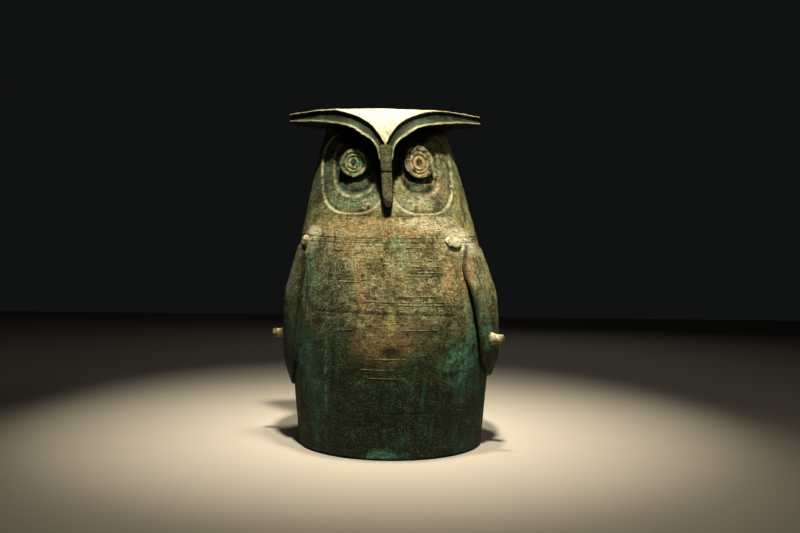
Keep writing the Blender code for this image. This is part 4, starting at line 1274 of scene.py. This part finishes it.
class OWL_OT_threads(bpy.types.Operator):
    """Make the fine raised threads on the chest"""

    bl_idname = "owl.threads"
    bl_label = "Chest threads"

    def execute(self, context):
        dress(make_threads(context.scene.owl_form), BODY_FINISH)
        return {"FINISHED"}


class OWL_OT_head(bpy.types.Operator):
    """Make the hollow head with the stepped face"""

    bl_idname = "owl.head"
    bl_label = "Head"

    def execute(self, context):
        dress(make_head_shell(context.scene.owl_form), HEAD_FINISH)
        return {"FINISHED"}


class OWL_OT_face(bpy.types.Operator):
    """Make the brow with its ear tufts, the eyes and the beak"""

    bl_idname = "owl.face"
    bl_label = "Brow, eyes and beak"

    def execute(self, context):
        for piece in (make_brow(), make_eyes(), make_beak()):
            dress(piece, HEAD_FINISH)
        return {"FINISHED"}


def area_light(name, power, place, target, size, tone, spread):
    """A square lamp at a place, turned to a target."""
    lamp = bpy.data.lights.new(name, "AREA")
    lamp.size = size
    lamp.energy = power
    lamp.color = tone
    lamp.spread = math.radians(spread)
    thing = bpy.data.objects.new(name, lamp)
    thing.location = place
    thing.rotation_euler = (Vector(target) - Vector(place)).to_track_quat("-Z", "Y").to_euler()
    bpy.context.collection.objects.link(thing)


class OWL_OT_stage(bpy.types.Operator):
    """Make the floor, the lights and the camera"""

    bl_idname = "owl.stage"
    bl_label = "Studio"

    def execute(self, context):
        settings = context.scene.owl_stage
        corners = FLOOR_HALF_SIZE * np.array(((-1.0, -1.0, 0.0), (1.0, -1.0, 0.0), (1.0, 1.0, 0.0), (-1.0, 1.0, 0.0)))
        floor = mesh_object("studio_floor", corners, [(0, 1, 2, 3)])
        g = Graph("floor paper")
        g.shader.inputs["Base Color"].default_value = FLOOR_COLOUR
        g.shader.inputs["Roughness"].default_value = FLOOR_ROUGHNESS
        floor.data.materials.append(g.material)

        world = bpy.data.worlds.new("studio air")
        world.use_nodes = True
        air = world.node_tree.nodes["Background"]
        air.inputs["Color"].default_value = AIR_COLOUR
        air.inputs["Strength"].default_value = AIR_STRENGTH
        context.scene.world = world
        for name, setting, share, *rest in LIGHTS:
            area_light(name, share * getattr(settings, setting), *rest)

        camera = bpy.data.cameras.new("studio camera")
        camera.lens = settings.lens
        camera.sensor_width = SENSOR_WIDTH
        thing = bpy.data.objects.new("studio camera", camera)
        pitch = Matrix.Rotation(math.radians(CAMERA_PITCH), 4, "X")
        yaw = Matrix.Rotation(math.radians(CAMERA_YAW), 4, "Z")
        roll = Matrix.Rotation(math.radians(CAMERA_ROLL), 4, "Z")
        thing.matrix_world = Matrix.Translation(CAMERA_PLACE) @ yaw @ pitch @ roll
        context.collection.objects.link(thing)
        context.scene.camera = thing
        context.scene.view_settings.view_transform = "Standard"
        return {"FINISHED"}


OPERATORS = (OWL_OT_body, OWL_OT_wings, OWL_OT_knobs, OWL_OT_threads, OWL_OT_head, OWL_OT_face, OWL_OT_stage)


class OWL_PT_panel(bpy.types.Panel):
    """Sizes, colours and pieces of the owl vessel"""

    bl_label = "Owl vessel"
    bl_idname = "OWL_PT_panel"
    bl_space_type = "VIEW_3D"
    bl_region_type = "UI"
    bl_category = "Owl vessel"

    def draw(self, context):
        for group in (context.scene.owl_form, context.scene.owl_patina, context.scene.owl_stage):
            box = self.layout.box()
            for name in group.__annotations__:
                box.prop(group, name)
        for operator in OPERATORS:
            self.layout.operator(operator.bl_idname)


CLASSES = (OwlForm, OwlPatina, OwlStage, *OPERATORS, OWL_PT_panel)


def register():
    for each in CLASSES:
        bpy.utils.register_class(each)
    bpy.types.Scene.owl_form = PointerProperty(type=OwlForm)
    bpy.types.Scene.owl_patina = PointerProperty(type=OwlPatina)
    bpy.types.Scene.owl_stage = PointerProperty(type=OwlStage)


def unregister():
    del bpy.types.Scene.owl_stage
    del bpy.types.Scene.owl_patina
    del bpy.types.Scene.owl_form
    for each in reversed(CLASSES):
        bpy.utils.unregister_class(each)


def main():
    register()
    bpy.ops.owl.stage()
    bpy.ops.owl.body()
    bpy.ops.owl.wings()
    bpy.ops.owl.knobs()
    bpy.ops.owl.threads()
    bpy.ops.owl.head()
    bpy.ops.owl.face()


if __name__ == "__main__":
    main()
